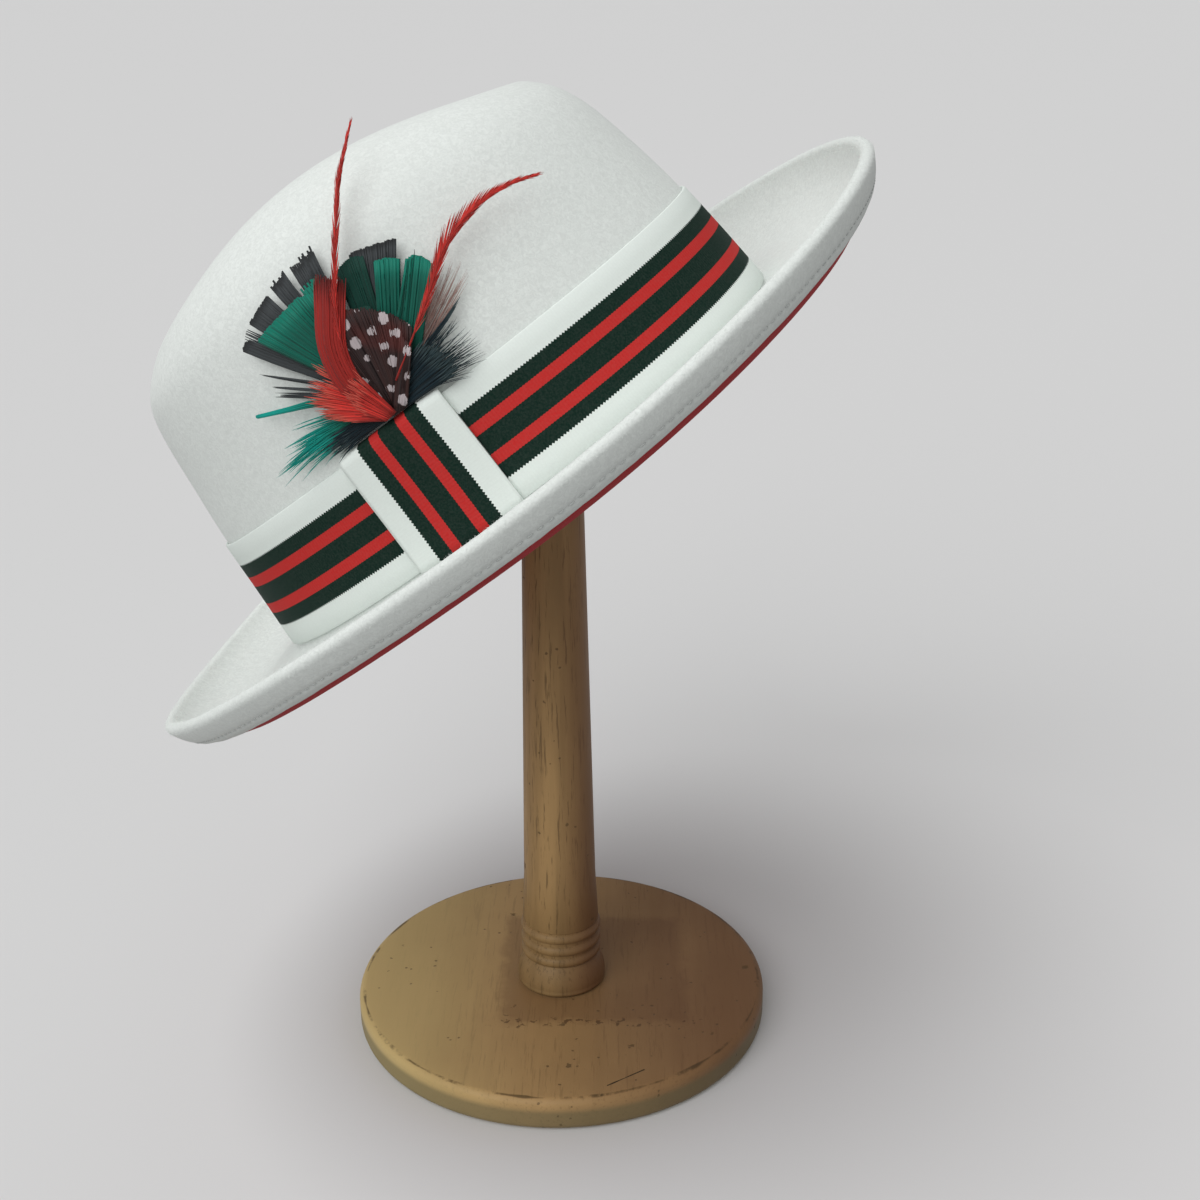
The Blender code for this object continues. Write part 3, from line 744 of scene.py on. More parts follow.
class FEDORA_OT_outer_felt(bpy.types.Operator):
    """White felt of the crown and the brim, folded under at the edge and stitched down"""

    bl_idname = "fedora.outer_felt"
    bl_label = "Outer felt"

    def execute(self, context):
        angles = round_angles(ROUND_STEPS)
        face, normals = felt_face(angles)
        grow = np.linspace(0, 1, len(face))[:, None] ** 6
        face = face + normals * (grow * (ripple(angles, WAVY_FELT) * MM))[..., None]
        welt = np.arange(len(face) - 2, len(face) - 2 - WELT_STEPS, -1)
        under = face[welt] - normals[welt] * FOLDED
        from_raw = (WELT_STEPS - 1 - np.arange(WELT_STEPS)) * WELT_WIDTH / WELT_STEPS
        groove = np.exp(-(((from_raw - STITCH_INSET) / GROOVE_WIDTH) ** 2)) * GROOVE_DEPTH
        pressed = np.exp(-((from_raw / WELT_PRESSED_WIDTH) ** 2)) * WELT_PRESSED
        under = under + normals[welt] * (groove + pressed)[:, None, None]
        frayed = ripple(angles, FRAYED_EDGE)[:, None]
        under[-1] += (under[-2] - under[-1]) * frayed
        over = face[welt[::-1]] - normals[welt[::-1]] * (FOLDED - OUTER_FELT)
        over[0] += (over[1] - over[0]) * frayed
        fold = edge_fold(face, normals, FOLDED / 2, FOLD_STEPS)
        rows = [*face[:-1], *fold, *under, *over]
        rows += edge_fold(face, normals, FOLDED / 2 - OUTER_FELT, FOLD_STEPS // 2)[::-1]
        inner = face - normals * OUTER_FELT
        rows += [*inner[-2::-2], inner[0]]
        piece = wrapped("outer_felt_body", on_stand(np.array(rows)))
        wool = felt_paint("white_wool_felt", colours().white_felt, 0.010, 0.25)
        finish_piece(piece, wool, "white_felt", "outer_felt")
        stitches = self.stitch(face, normals)
        thread = Paint("white_thread", Roughness=0.7, Sheen_Weight=0.1)
        twist = thread.noise(thread.place(), 1800, 2)
        thread.feed(Base_Color=thread.mix(twist, (0.42, 0.44, 0.43), (0.66, 0.69, 0.67)))
        finish_piece(stitches, thread.material, "white_felt")
        outward = np.array(fold) - (face[-1] - normals[-1] * FOLDED / 2)
        outward /= np.linalg.norm(outward, axis=2, keepdims=True)
        edge = np.concatenate((face[-FUZZY_ROWS:-1], fold))
        fuzz = self.fuzz(edge, np.concatenate((normals[-FUZZY_ROWS:-1], outward)))
        fibre = Paint("loose_wool", Roughness=0.95, Base_Color=(*shade(colours().white_felt, 1.04), 1.0))
        finish_piece(fuzz, fibre.material, "white_felt")
        return {"FINISHED"}

    def fuzz(self, rows, normals):
        """Short loose fibres, each a thin three-sided needle, that stand out along the brim's rolled edge."""
        random = np.random.default_rng(31)
        row = random.integers(0, len(rows), FUZZ_COUNT)
        column = random.integers(0, rows.shape[1] - 1, FUZZ_COUNT)
        share = random.uniform(0, 1, (FUZZ_COUNT, 1))
        root = rows[row, column] * (1 - share) + rows[row, column + 1] * share
        lean = normals[row, column] * 0.55 + random.normal(0, 0.5, (FUZZ_COUNT, 3))
        lean /= np.linalg.norm(lean, axis=1, keepdims=True)
        side = np.cross(lean, (0.3, 0.2, 0.9))
        side /= np.linalg.norm(side, axis=1, keepdims=True)
        other = np.cross(lean, side)
        turns = np.radians((0, 120, 240))
        corners = [root + (math.cos(t) * side + math.sin(t) * other) * FUZZ_RADIUS for t in turns]
        tip = root + lean * random.uniform(0.25, 1.0, (FUZZ_COUNT, 1)) * FUZZ_LENGTH
        first = np.arange(FUZZ_COUNT)[:, None] * 4
        needles = np.concatenate([first + corner for corner in ((0, 1, 3), (1, 2, 3), (2, 0, 3), (0, 2, 1))])
        points = on_stand(np.stack((*corners, tip), axis=1).reshape(-1, 3))
        piece = piece_of("brim_fuzz", points.tolist(), [], needles.tolist())
        edit(piece, face_outwards)
        return piece

    def stitch(self, face, normals):
        """Short stitches round the welt, a little way in from its raw edge."""
        row = len(face) - 1 - round((WELT_WIDTH - STITCH_INSET) / WELT_WIDTH * WELT_STEPS)
        line = face[row] - normals[row] * (FOLDED - STITCH_SUNK)
        steps = np.linalg.norm(np.diff(line, axis=0), axis=1)
        travelled = np.concatenate(([0], np.cumsum(steps)))
        count = int(travelled[-1] / STITCH_PITCH)
        at = (np.arange(count) + 0.5) * travelled[-1] / count
        centres = read_between(at, travelled, line)
        ahead = read_between(at + MM, travelled, line) - centres
        ups = read_between(at, travelled, normals[row])
        bpy.ops.object.select_all(action="DESELECT")
        bpy.ops.mesh.primitive_uv_sphere_add(segments=8, ring_count=6, radius=1)
        piece = bpy.context.object
        piece.name = piece.data.name = "welt_stitches"
        bead = np.array([v.co[:] for v in piece.data.vertices])
        faces = [list(p.vertices) for p in piece.data.polygons]
        points, polygons = [], []
        for centre, forward, up in zip(centres, ahead, ups):
            forward = forward / np.linalg.norm(forward)
            thin = STITCH_THICKNESS / 2
            axes = np.stack((forward * STITCH_LENGTH / 2, np.cross(up, forward) * thin, up * thin))
            polygons += [[v + len(points) * len(bead) for v in f] for f in faces]
            points.append(centre + bead @ axes)
        piece.data.clear_geometry()
        piece.data.from_pydata(on_stand(np.concatenate(points)).tolist(), [], polygons)
        edit(piece, face_outwards)
        piece.data.shade_smooth()
        return piece


class FEDORA_OT_inner_felt(bpy.types.Operator):
    """Red felt that lines the crown and the underside of the brim"""

    bl_idname = "fedora.inner_felt"
    bl_label = "Inner felt"

    def execute(self, context):
        angles = round_angles(ROUND_STEPS // 2)
        face, normals = felt_face(angles)
        keep = [*range(0, len(face) - 1, 2), len(face) - 1]
        upper = OUTER_FELT + FELT_GAP
        rows = [face[k] - normals[k] * upper for k in keep]
        rows += [face[k] - normals[k] * (upper + INNER_FELT) for k in reversed(keep)]
        piece = wrapped("inner_felt_lining", on_stand(np.array(rows)))
        wool = felt_paint("red_wool_felt", colours().red_felt, 0.0, 0.05)
        finish_piece(piece, wool, "red_felt", "inner_felt")
        return {"FINISHED"}


def wall_ring(name, profile, angles):
    """A closed strip round the crown, from a closed profile of offsets and heights."""
    rows = np.array([wall_point(height, angles, offset) for offset, height in (*profile, profile[0])])
    foot = crown_point(CROWN_ROWS[0], angles)
    along = np.concatenate(([0], np.cumsum(np.linalg.norm(np.diff(foot, axis=0), axis=1))))
    heights = np.array([height for _, height in (*profile, profile[0])])
    across = (heights - heights.min()) / (heights.max() - heights.min())
    return wrapped(name, on_stand(rows), across[:, None], along[None, :] / sizes().ribbon_width)


class FEDORA_OT_sweatband(bpy.types.Operator):
    """Red ribbed band inside the foot of the crown"""

    bl_idname = "fedora.sweatband"
    bl_label = "Sweatband"

    def execute(self, context):
        front = -(OUTER_FELT + INNER_FELT + 2 * FELT_GAP)
        back = front - SWEATBAND_THICKNESS
        low, high, soft = ROOT_FILLET, SWEATBAND_HEIGHT, 0.35 * MM
        profile = [(front, low + soft), (front, high - soft), (front - soft, high), (back + soft, high)]
        profile += [(back, high - soft), (back - 0.25 * MM, (low + high) / 2), (back, low + 2.5 * MM)]
        profile += [(back - 0.2 * MM, low + 1.5 * MM), (back + soft, low), (front - soft, low)]
        piece = wall_ring("sweatband_strip", profile, round_angles(ROUND_STEPS))
        paint = Paint("red_ribbed_band", Sheen_Weight=0.2, Specular_IOR_Level=0.35)
        along, _ = paint.uv()
        rib = along.wave(SWEATBAND_RIB) * (2 / SWEATBAND_RIB)
        threads = paint.noise(paint.place(), 1400, 4, 0.6)
        red = colours().red_felt
        tone = paint.mix(threads.ramp(0.3, 0.7), shade(red, 0.75), shade(red, 1.15))
        # Painted shade: the ribs' grooves are darkened
        tone = paint.mix(rib.power(3) * 0.35, tone, shade(red, 0.35))
        paint.feed(Base_Color=tone, Normal=paint.bump(1 - rib + threads * 0.3, 0.25 * MM, 0.6))
        finish_piece(piece, paint.material, "red_felt", "sweatband")
        flat = (high - low, girth_at((low + high) / 2, front))
        return {"FINISHED"}


def band_top():
    return ROOT_FILLET + sizes().ribbon_width


class FEDORA_OT_ribbons(bpy.types.Operator):
    """Striped ribbon band round the crown and the flat loop that stands over it"""

    bl_idname = "fedora.ribbons"
    bl_label = "Ribbons"

    def execute(self, context):
        material = ribbon_paint("striped_ribbon")
        back, front = FELT_GAP, FELT_GAP + RIBBON_THICKNESS
        low, high, soft = ROOT_FILLET, band_top(), 0.3 * MM
        faces = np.linspace(low + soft, high - soft, 9)
        profile = [(back, h) for h in (high, low)] + [(front - soft, low)]
        profile += [(front, h) for h in faces] + [(front - soft, high)]
        band = wall_ring("ribbon_band_strip", profile, round_angles(360))
        finish_piece(band, material, "ribbon", "ribbon_band")
        width = sizes().ribbon_width
        flat = (width, girth_at(ROOT_FILLET + width / 2, back))
        keeper = self.keeper()
        finish_piece(keeper, material, "ribbon", "ribbon_keeper")
        return {"FINISHED"}

    def keeper(self):
        """The loop, from its foot up its face, over the band in a soft fold and down behind."""
        width = sizes().ribbon_width
        angles = np.radians(KEEPER_ANGLE) + np.linspace(-0.5, 0.5, 33) * angle_step(KEEPER_ANGLE, width)
        face = FELT_GAP + RIBBON_THICKNESS + TRIM_GAP + KEEPER_THICKNESS
        crest = band_top() + KEEPER_RISE + KEEPER_THICKNESS
        foot = ROOT_FILLET / 2
        profile = []
        for height in np.linspace(foot, crest - KEEPER_ROUND, 14):
            share = (height - foot) / (crest - KEEPER_ROUND - foot)
            profile.append((face + KEEPER_LEAN * share**2 * (3 - 2 * share), height))
        for turn in np.radians(np.arange(10, 91, 10)):
            offset = face + KEEPER_LEAN - KEEPER_ROUND * (1 - math.cos(turn))
            profile.append((offset, crest - KEEPER_ROUND * (1 - math.sin(turn))))
        profile += [(FELT_GAP, crest), (FELT_GAP, crest - KEEPER_THICKNESS)]
        for height in np.linspace(crest - KEEPER_THICKNESS, foot, 8):
            profile.append((face - KEEPER_THICKNESS, height))
        profile.append(profile[0])
        offsets, heights = (np.array(column)[:, None] for column in zip(*profile))
        rows = wall_point(heights, angles[None, :], offsets)
        across = np.linspace(0, 1, len(angles))[None, :]
        return wrapped("ribbon_keeper_loop", on_stand(rows), across, (heights - foot) / width)


def girth_at(height, offset):
    """The way round the crown at a height, along a strip that lies off the felt's face by an offset."""
    ring = wall_point(height, round_angles(ROUND_STEPS), offset)
    return float(np.linalg.norm(np.diff(ring, axis=0), axis=1).sum())


def angle_step(angle, distance):
    """The angle that a distance along the foot of the crown covers, near an angle in degrees."""
    half_length, half_width = sizes().crown_length / 2, sizes().crown_width / 2
    angle = math.radians(angle)
    return distance / math.hypot(half_length * math.sin(angle), half_width * math.cos(angle))


def chart_point(forward, up, lift):
    """Points off the crown's side, by millimetres forward and up from the plume's root and off the felt."""
    root = band_top() + KEEPER_RISE + KEEPER_THICKNESS + TRIM_GAP
    angles = math.radians(PLUME_ANGLE) - forward * MM * angle_step(PLUME_ANGLE, 1.0)
    heights = root + up * MM
    low = np.minimum(heights, CHART_TOP)
    points = wall_point(low, angles, lift * MM)
    slope = (points - wall_point(low - MM, angles, lift * MM)) / MM
    return points + slope * (heights - low)[:, None]


def along_line(points, count):
    """Places at even steps along a line of points."""
    points = np.array(points, float)
    steps = np.concatenate(([0], np.cumsum(np.linalg.norm(np.diff(points, axis=0), axis=1))))
    return read_between(np.linspace(0, steps[-1], count), steps, points)


def smooth_path(points, count):
    """A smooth curve through chart points, at even parameter steps."""
    points = np.array(points, float)
    slopes = np.gradient(points, axis=0)
    last = len(points) - 1
    firsts = [(at, min(int(at), last - 1)) for at in np.linspace(0, last, count)]
    return np.array([curve_point(points, slopes, k, at - k) for at, k in firsts])


class Barbs:
    """Many thin tapered barbs, each a closed three-sided strip with its ridge outwards."""

    def __init__(self, seed, ridge=0.5):
        self.random = np.random.default_rng(seed)
        self.ridge = ridge
        self.points = []
        self.faces = []
        self.maps = []

    def add(self, path, widths, tint, start=0.0):
        """One barb along a path of chart points (forward, up, lift), in millimetres."""
        path = np.asarray(path, float)
        count = len(path)
        along = np.gradient(path[:, :2], axis=0)
        along /= np.maximum(np.linalg.norm(along, axis=1, keepdims=True), 1e-9)
        side = np.stack((-along[:, 1], along[:, 0]), axis=-1)
        half = np.asarray(widths)[:, None] / 2
        ridge = path.copy()
        ridge[:, 2] += np.maximum(half[:, 0] * self.ridge, 0.03)
        left, right = path.copy(), path.copy()
        left[:, :2] += side * half
        right[:, :2] -= side * half
        block = np.stack((left, right, ridge), axis=1).reshape(-1, 3)
        first = sum(len(p) for p in self.points)
        self.points.append(block)
        shares = np.repeat(np.linspace(start, 1, count), 3)
        self.maps.append(np.stack((np.full(count * 3, tint), shares), axis=-1))
        for k in range(count - 1):
            a = first + k * 3
            for m in range(3):
                n = (m + 1) % 3
                self.faces.append((a + m, a + n, a + 3 + n, a + 3 + m))
        end = first + (count - 1) * 3
        self.faces += [(first + 2, first + 1, first), (end, end + 1, end + 2)]

    def sheaf(self, low, high, count, lift, width, bow=0.0, jitter=0.0, splay=0.0, loose=0.25, tips=0.1):
        """Barbs side by side from one line of the chart to another."""
        low, high = along_line(low, count), along_line(high, count)
        t = np.linspace(0, 1, 8)
        taper = np.interp(t, (0, 0.12, 0.8, 1), (0.7, 1, 0.95, tips))
        for k in range(count):
            run = (high[k] - low[k]) * (1 + jitter * self.random.uniform(-1, 0.35))
            sideways = np.array((-run[1], run[0]))
            bend = bow * t * (1 - t) + self.random.normal(0, splay) * t**2
            flat = low[k] + run * t[:, None] + sideways * bend[:, None]
            layer = np.interp(t, (0, 1), lift) + self.random.uniform(-loose, loose)
            self.add(np.column_stack((flat, layer)), width * taper, self.random.uniform(0, 1))

    def blade(self, low, high, count, lift, width=0.95, jitter=0.012, tips=0.8):
        """A smooth vane: wide barbs that lie close over each other and end in a clean line."""
        self.sheaf(low, high, count, lift, width, jitter=jitter, loose=0.03, tips=tips)

    def lock(self, path, count, spread, width, jitter, bulge, tips=0.3):
        """Strands that follow one curved path, spread to both sides of it."""
        path = smooth_path(path, 16)
        heading = np.gradient(path[:, :2], axis=0)
        heading /= np.linalg.norm(heading, axis=1, keepdims=True)
        path_steps = np.arange(len(path))
        spreads = np.interp(path_steps, np.linspace(0, len(path) - 1, len(spread)), spread)
        table = np.column_stack((path, heading, spreads))
        taper = np.interp(np.linspace(0, 1, len(path)), (0, 0.1, 0.8, 1), (0.7, 1, 0.9, tips))
        for _ in range(count):
            hand = self.random.uniform(-1, 1)
            at = np.linspace(0, 1 - jitter * self.random.uniform(0, 1), len(path)) * (len(path) - 1)
            x, y, z, ahead_x, ahead_y, spread_here = read_between(at, path_steps, table).T
            drift = (hand + self.random.normal(0, 0.06)) * spread_here
            z = z + bulge * (1 - hand**2) + self.random.uniform(-0.2, 0.2)
            strand = np.column_stack((x - ahead_y * drift, y + ahead_x * drift, z))
            self.add(strand, width * taper, self.random.uniform(0, 1))

    def plume(self, path, reach, count, width, lean):
        """A quill along a path of chart points, with barbs on both sides that lean out from it by degrees."""
        path = smooth_path(path, 40)
        steps = np.arange(len(path))
        self.add(path, QUILL * np.linspace(1, 0.12, len(path)), 0.15)
        heading = np.gradient(path[:, :2], axis=0)
        heading /= np.linalg.norm(heading, axis=1, keepdims=True)
        for at in np.linspace(QUILL_BARE, 0.97, count):
            base = read_between(at * (len(path) - 1), steps, path)
            ahead = read_between(at * (len(path) - 1), steps, heading)
            for hand in (-1, 1):
                length = np.interp(at, *zip(*reach)) * (1 + 0.15 * self.random.uniform(-1, 0.6))
                turn = math.radians(lean * self.random.uniform(0.75, 1.25)) * hand
                t = np.linspace(0, 1, 6)
                angle = turn * (1 - 0.45 * t)
                step_x = (ahead[0] * np.cos(angle) - ahead[1] * np.sin(angle)) * length / 5
                step_y = (ahead[0] * np.sin(angle) + ahead[1] * np.cos(angle)) * length / 5
                x = base[0] + np.concatenate(([0], np.cumsum(step_x[:-1])))
                y = base[1] + np.concatenate(([0], np.cumsum(step_y[:-1])))
                z = base[2] + self.random.uniform(-0.5, 0.5) * t
                barb_width = width * np.interp(t, (0, 0.5, 1), (1, 0.8, 0.15))
                self.add(np.column_stack((x, y, z)), barb_width, self.random.uniform(0, 1), at * 0.5)

    def make(self, name):
        """One mesh of all the barbs, laid on the crown."""
        forward, up, lift = np.concatenate(self.points).T
        places = on_stand(chart_point(forward, up, np.maximum(lift, LOWEST_BARB)))
        piece = piece_of(name, places.tolist(), [], self.faces)
        lay_map(piece.data, piece.data.uv_layers.new(name="barbs"), np.concatenate(self.maps))
        edit(piece, face_outwards)
        piece.data.shade_smooth()
        return piece


class FEDORA_OT_plume(bpy.types.Operator):
    """Short feathers of the plume: slate, teal, red, navy and a dotted one"""

    bl_idname = "fedora.plume"
    bl_label = "Plume"

    def execute(self, context):
        self.cut_blades()
        self.teal_and_navy_wisps()
        self.dotted_and_red()
        return {"FINISHED"}

    def cut_blades(self):
        """Slate and teal vanes, and teal vanes darkened as painted shade, with thin slate tufts and strands
        in front of them.
        """
        slate = Barbs(11, VANE_RIDGE)
        slate.blade([(-4, 14), (-9, 12)], [(-21.9, 45.2), (-26.5, 44.2), (-36.6, 40.9)], 44, (1.2, 4.2))
        ends = [(-3.0, 52.3), (-8.0, 53.0), (-12.7, 53.6)]
        slate.blade([(-1.5, 16), (-3.5, 16)], ends, 24, (1.2, 4.0), jitter=0.05)
        slate.blade([(1.0, 16), (-1.0, 16)], [(6.5, 51.9), (0.2, 53.2)], 18, (1.3, 4.2), jitter=0.05)
        slate.blade([(3, 14), (1, 16)], [(20.3, 47.6), (9.5, 50.5)], 30, (1.1, 4.2))
        slate.blade([(4, 11), (2, 14)], [(28.3, 42.6), (26.1, 43.7), (24.0, 43.6)], 12, (1.0, 4.4))
        slate.blade([(5, 16), (4, 17)], [(24.9, 44.6), (23.6, 45.6)], 3, (1.0, 4.3), 0.8, tips=0.3)
        slate.blade([(5, 18), (4, 19)], [(23.3, 45.8), (22.3, 46.6)], 3, (1.0, 4.3), 0.8, tips=0.3)
        slate.sheaf([(3, 10), (2, 11)], [(27.9, 33.0), (28.2, 33.6)], 5, (1.0, 3.8), 0.55, 0.03, 0.03)
        slate.sheaf([(3, 9), (3, 10)], [(27.0, 28.0), (27.4, 28.6)], 5, (1.0, 3.6), 0.55, 0.04, 0.03)
        slate.sheaf([(3, 7), (3, 9)], [(28.4, 25.7), (28.8, 27.2)], 9, (1.0, 3.6), 0.6, 0.05, 0.10, 0.01)
        slate.sheaf([(-14, 12), (-15, 12)], [(-38.5, 34.4), (-39.0, 35.0)], 5, (1.2, 3.8), 0.6, 0.02, 0.04)
        grey = colours().slate
        material = feather_paint("slate_barbs", grey, shade(grey, 0.45), 0.93, 0.5, 0.5, VANE_CONTRAST)
        finish_piece(slate.make("slate_feathers"), material, "feather", "feather_plume")

        teal = Barbs(12, VANE_RIDGE)
        big = [(20.8, 41.9), (15.6, 42.8), (6.5, 43.9), (0.6, 44.5), (-5.0, 42.5)]
        teal.blade([(3, 11), (-1, 14)], big, 74, (1.9, 5.2), tips=0.9)
        ends = [(-2.0, 45.3), (-5.0, 45.8), (-8.5, 46.0)]
        teal.blade([(-2, 18), (-3, 17)], ends, 14, (1.8, 4.6), jitter=0.06)
        middle = [(-26.6, 39.0), (-30.0, 37.8), (-33.0, 35.4)]
        teal.blade([(-6, 13), (-13, 13)], middle, 32, (2.1, 5.4), tips=0.9)
        rounded = [(-32.8, 32.2), (-34.6, 33.9), (-37.3, 33.6), (-39.2, 31.4), (-39.5, 28.6)]
        teal.blade([(-7, 11), (-15, 7)], rounded, 40, (2.2, 5.8), tips=0.9)
        green = colours().teal
        material = feather_paint("teal_barbs", green, shade(green, 1.8), 0.72, 0.3, 0.45, VANE_CONTRAST)
        finish_piece(teal.make("teal_feathers"), material, "feather")

        # Painted shade: these vanes take a darker copy of the teal, standing for teal in shadow
        shadowed = Barbs(19, VANE_RIDGE)
        shadowed.blade([(-5, 14), (-10, 13)], [(-14.5, 43.6), (-20.6, 44.6), (-24.6, 42.6)], 28, (1.6, 4.3))
        shadowed.blade([(1, 8), (-4, 7)], [(8, 27), (0, 33), (-9, 33), (-16, 30)], 50, (1.2, 3.4))
        deep = shade(green, 0.40)
        material = feather_paint("teal_barbs_in_painted_shade", deep, deep, 0.7, 0.2, 0.5, VANE_CONTRAST)
        finish_piece(shadowed.make("teal_feathers_in_painted_shade"), material, "feather")

    def teal_and_navy_wisps(self):
        """Loose teal tufts and one long strand in front, and navy fluff with thin brown barbs behind."""
        wisps = Barbs(13)
        wisps.sheaf([(2, 3), (1, 6)], [(43.5, 5), (40, 7.5)], 26, (1.8, 4.4), 0.42, 0.10, 0.3, 0.02)
        wisps.sheaf([(2, 1), (1, 4)], [(33, 3.5), (37, 2)], 16, (1.6, 3.6), 0.34, 0.08, 0.3, 0.04)
        wisps.sheaf([(2, 3), (2, 6)], [(36.5, 8.5), (35.5, 12)], 26, (1.8, 4.2), 0.40, 0.08, 0.25, 0.02)
        wisps.sheaf([(2, 3), (2, 7)], [(29.5, 11.9), (29.6, 15.6)], 18, (1.6, 3.4), 0.34, 0.05, 0.3, 0.04)
        wisps.sheaf([(1, 4), (-1, 7)], [(17, 9), (16.5, 17)], 40, (2.0, 3.6), 0.55, 0.04, 0.2, 0.04)
        strand = [(3, 4, 2.4), (6, 7, 3.0), (15.8, 15.9, 4.0), (27.1, 20.4, 4.6), (38.6, 24.4, 5.0)]
        wisps.lock(strand, 10, (1.2, 1.5, 1.2, 0.7, 0.5), 0.6, 0.03, 0.1, tips=0.75)
        material = feather_paint("teal_wisp_barbs", colours().teal, (0.0, 0.36, 0.30), 0.35, 0.2)
        finish_piece(wisps.make("teal_wisps"), material, "feather")

        navy = Barbs(14)
        body = [(-24.5, -0.6), (-27.0, 3.0), (-25.3, 7.5), (-21.8, 12.6)]
        navy.sheaf([(-3, 0.0), (-4, 6)], body, 110, (2.6, 5.0), 0.8, -0.04, 0.2, 0.02, tips=0.12)
        hair = [(-30.1, -2.9), (-33.4, -1.5), (-33.8, 3.2), (-33.1, 9.4), (-30, 14)]
        navy.sheaf([(-9, 1), (-10, 7)], hair, 70, (3.0, 5.2), 0.22, -0.06, 0.22, 0.07, tips=0.15)
        navy.sheaf([(-12, 8), (-13, 9)], [(-38.0, 14.6), (-38.4, 15.8)], 8, (3.2, 5.4), 0.6, 0.05, 0.16, 0.01)
        navy.sheaf([(2, 0.1), (1, 4)], [(23, 0.8), (26, 6.5)], 60, (2.4, 3.6), 0.5, 0.05, 0.3, 0.05)
        material = feather_paint("navy_barbs", (0.003, 0.013, 0.019), (0.045, 0.075, 0.080), 0.75, 0.7, 0.6)
        finish_piece(navy.make("navy_fluff"), material, "feather")

        brown = Barbs(15)
        sheer = [(-35.5, 23.0), (-41.0, 24.5), (-45.4, 21.0), (-42.0, 17.5)]
        brown.sheaf([(-14, 12), (-18, 9)], sheer, 70, (2.2, 4.4), 0.16, 0.03, 0.3, 0.04, tips=0.3)
        material = feather_paint("brown_barbs", (0.34, 0.21, 0.18), (0.46, 0.34, 0.31))
        finish_piece(brown.make("brown_wisps"), material, "feather")

    def dotted_and_red(self):
        """The dotted feather in the middle, the red lock up its front side and the red fluff at its root."""
        dotted = Barbs(16, VANE_RIDGE)
        oval = [(2.0, 15.3), (1.0, 23.6), (-3.9, 30.4), (-10.8, 33.1)]
        oval += [(-14.8, 30.2), (-19.5, 25.0), (-22.4, 18.0)]
        dotted.blade([(2, 0.1), (-5, 0.0)], oval, 110, (3.4, 6.2), 1.1, jitter=0.03, tips=0.5)
        back = [(-19, 20), (-18, 13), (-13, 8)]
        dotted.blade([(0, 0.1), (-5, 0.0)], back, 40, (4.0, 6.0), 1.1, jitter=0.05, tips=0.4)
        finish_piece(dotted.make("dotted_feather"), guinea_paint("dotted_barbs"), "feather")

        red = Barbs(17)
        spine = [(1, 3, 3.6), (4.2, 14, 5.2), (1.6, 26, 6.0), (-6.0, 36, 6.2), (-12.9, 43.8, 6.2)]
        red.lock(spine, 200, (1.5, 3.6, 4.0, 4.2, 4.6), 0.75, 0.14, 0.8)
        deep = shade(colours().hackle_red, 0.62)
        material = feather_paint("red_barbs", deep, shade(deep, 0.4), 0.82, 0.8, 0.45, 0.55)
        finish_piece(red.make("red_body_hackles"), material, "feather")

        fluff = Barbs(18)
        ends = [(12, 7.0), (18, 12.5), (18.6, 18), (15.5, 22), (9, 25.5)]
        fluff.sheaf([(2.5, 0.2), (-1, 4)], ends, 110, (4.2, 5.6), 0.6, 0.05, 0.22, 0.03, tips=0.12)
        ends = [(7, 8), (7, 15), (1, 17)]
        fluff.sheaf([(2, 0.1), (-2, 0.6)], ends, 60, (5.0, 6.4), 0.5, 0.05, 0.25, 0.05, tips=0.12)
        material = feather_paint("red_fluff_barbs", colours().hackle_red, (0.62, 0.11, 0.075), 0.7, 0.5)
        finish_piece(fluff.make("red_fluff"), material, "feather")


class FEDORA_OT_hackles(bpy.types.Operator):
    """The two long red hackles that stand out past the plume"""

    bl_idname = "fedora.hackles"
    bl_label = "Long hackles"

    def execute(self, context):
        red = colours().hackle_red
        material = feather_paint("long_hackle_barbs", red, shade(red, 0.8), 0.85, 0.8)
        front = Barbs(21)
        path = [(0, 5, 4.5), (0.5, 19, 6), (-7.0, 34, 7.8), (-15.8, 44.5, 8.2), (-24.1, 53.9, 8.9)]
        path += [(-33.2, 63.9, 10.4), (-42.2, 71.4, 11.6), (-51.6, 78.9, 12.8)]
        reach = [(0, 6), (0.3, 7), (0.5, 7), (0.65, 6.5), (0.8, 4), (0.9, 3), (1, 2)]
        front.plume(path, reach, 74, 0.34, 11)
        finish_piece(front.make("front_hackle"), material, "hackle", "hackle_front")
        back = Barbs(22)
        path = [(-7.9, 8.0, 5), (-26.1, 18.4, 6.5), (-35.3, 23.9, 7.5), (-43.7, 29.1, 8.5)]
        path += [(-52.4, 32.2, 9.5), (-63.0, 34.0, 10.5), (-73.4, 33.1, 11.5), (-84.6, 29.4, 13)]
        reach = [(0, 5), (0.3, 9), (0.45, 11), (0.6, 9), (0.75, 6), (0.9, 4), (1, 2)]
        back.plume(path, reach, 96, 0.34, 13)
        finish_piece(back.make("back_hackle"), material, "hackle", "hackle_back")
        return {"FINISHED"}


def turned(name, profile, steps):
    """A turned piece: a profile of radii and heights, spun round the post's middle line."""
    piece = piece_of(name, [(r, 0, z) for r, z in profile], [(k, k + 1) for k in range(len(profile) - 1)], [])

    def spin():
        bpy.ops.mesh.spin(steps=steps, angle=2 * math.pi, center=(0, 0, 0), axis=(0, 0, 1))
        bpy.ops.mesh.select_all(action="SELECT")

    edit(piece, spin, sew, face_outwards)
    piece.data.shade_smooth()
    piece.data.set_sharp_from_angle(angle=math.radians(50))
    return piece


def arc(centre_radius, centre_height, radius, first, last, steps):
    """Points of a circle in a turned profile, between two angles in degrees above the horizontal."""
    turns = np.radians(np.linspace(first, last, steps + 1))
    return [(centre_radius + radius * math.cos(t), centre_height + radius * math.sin(t)) for t in turns]


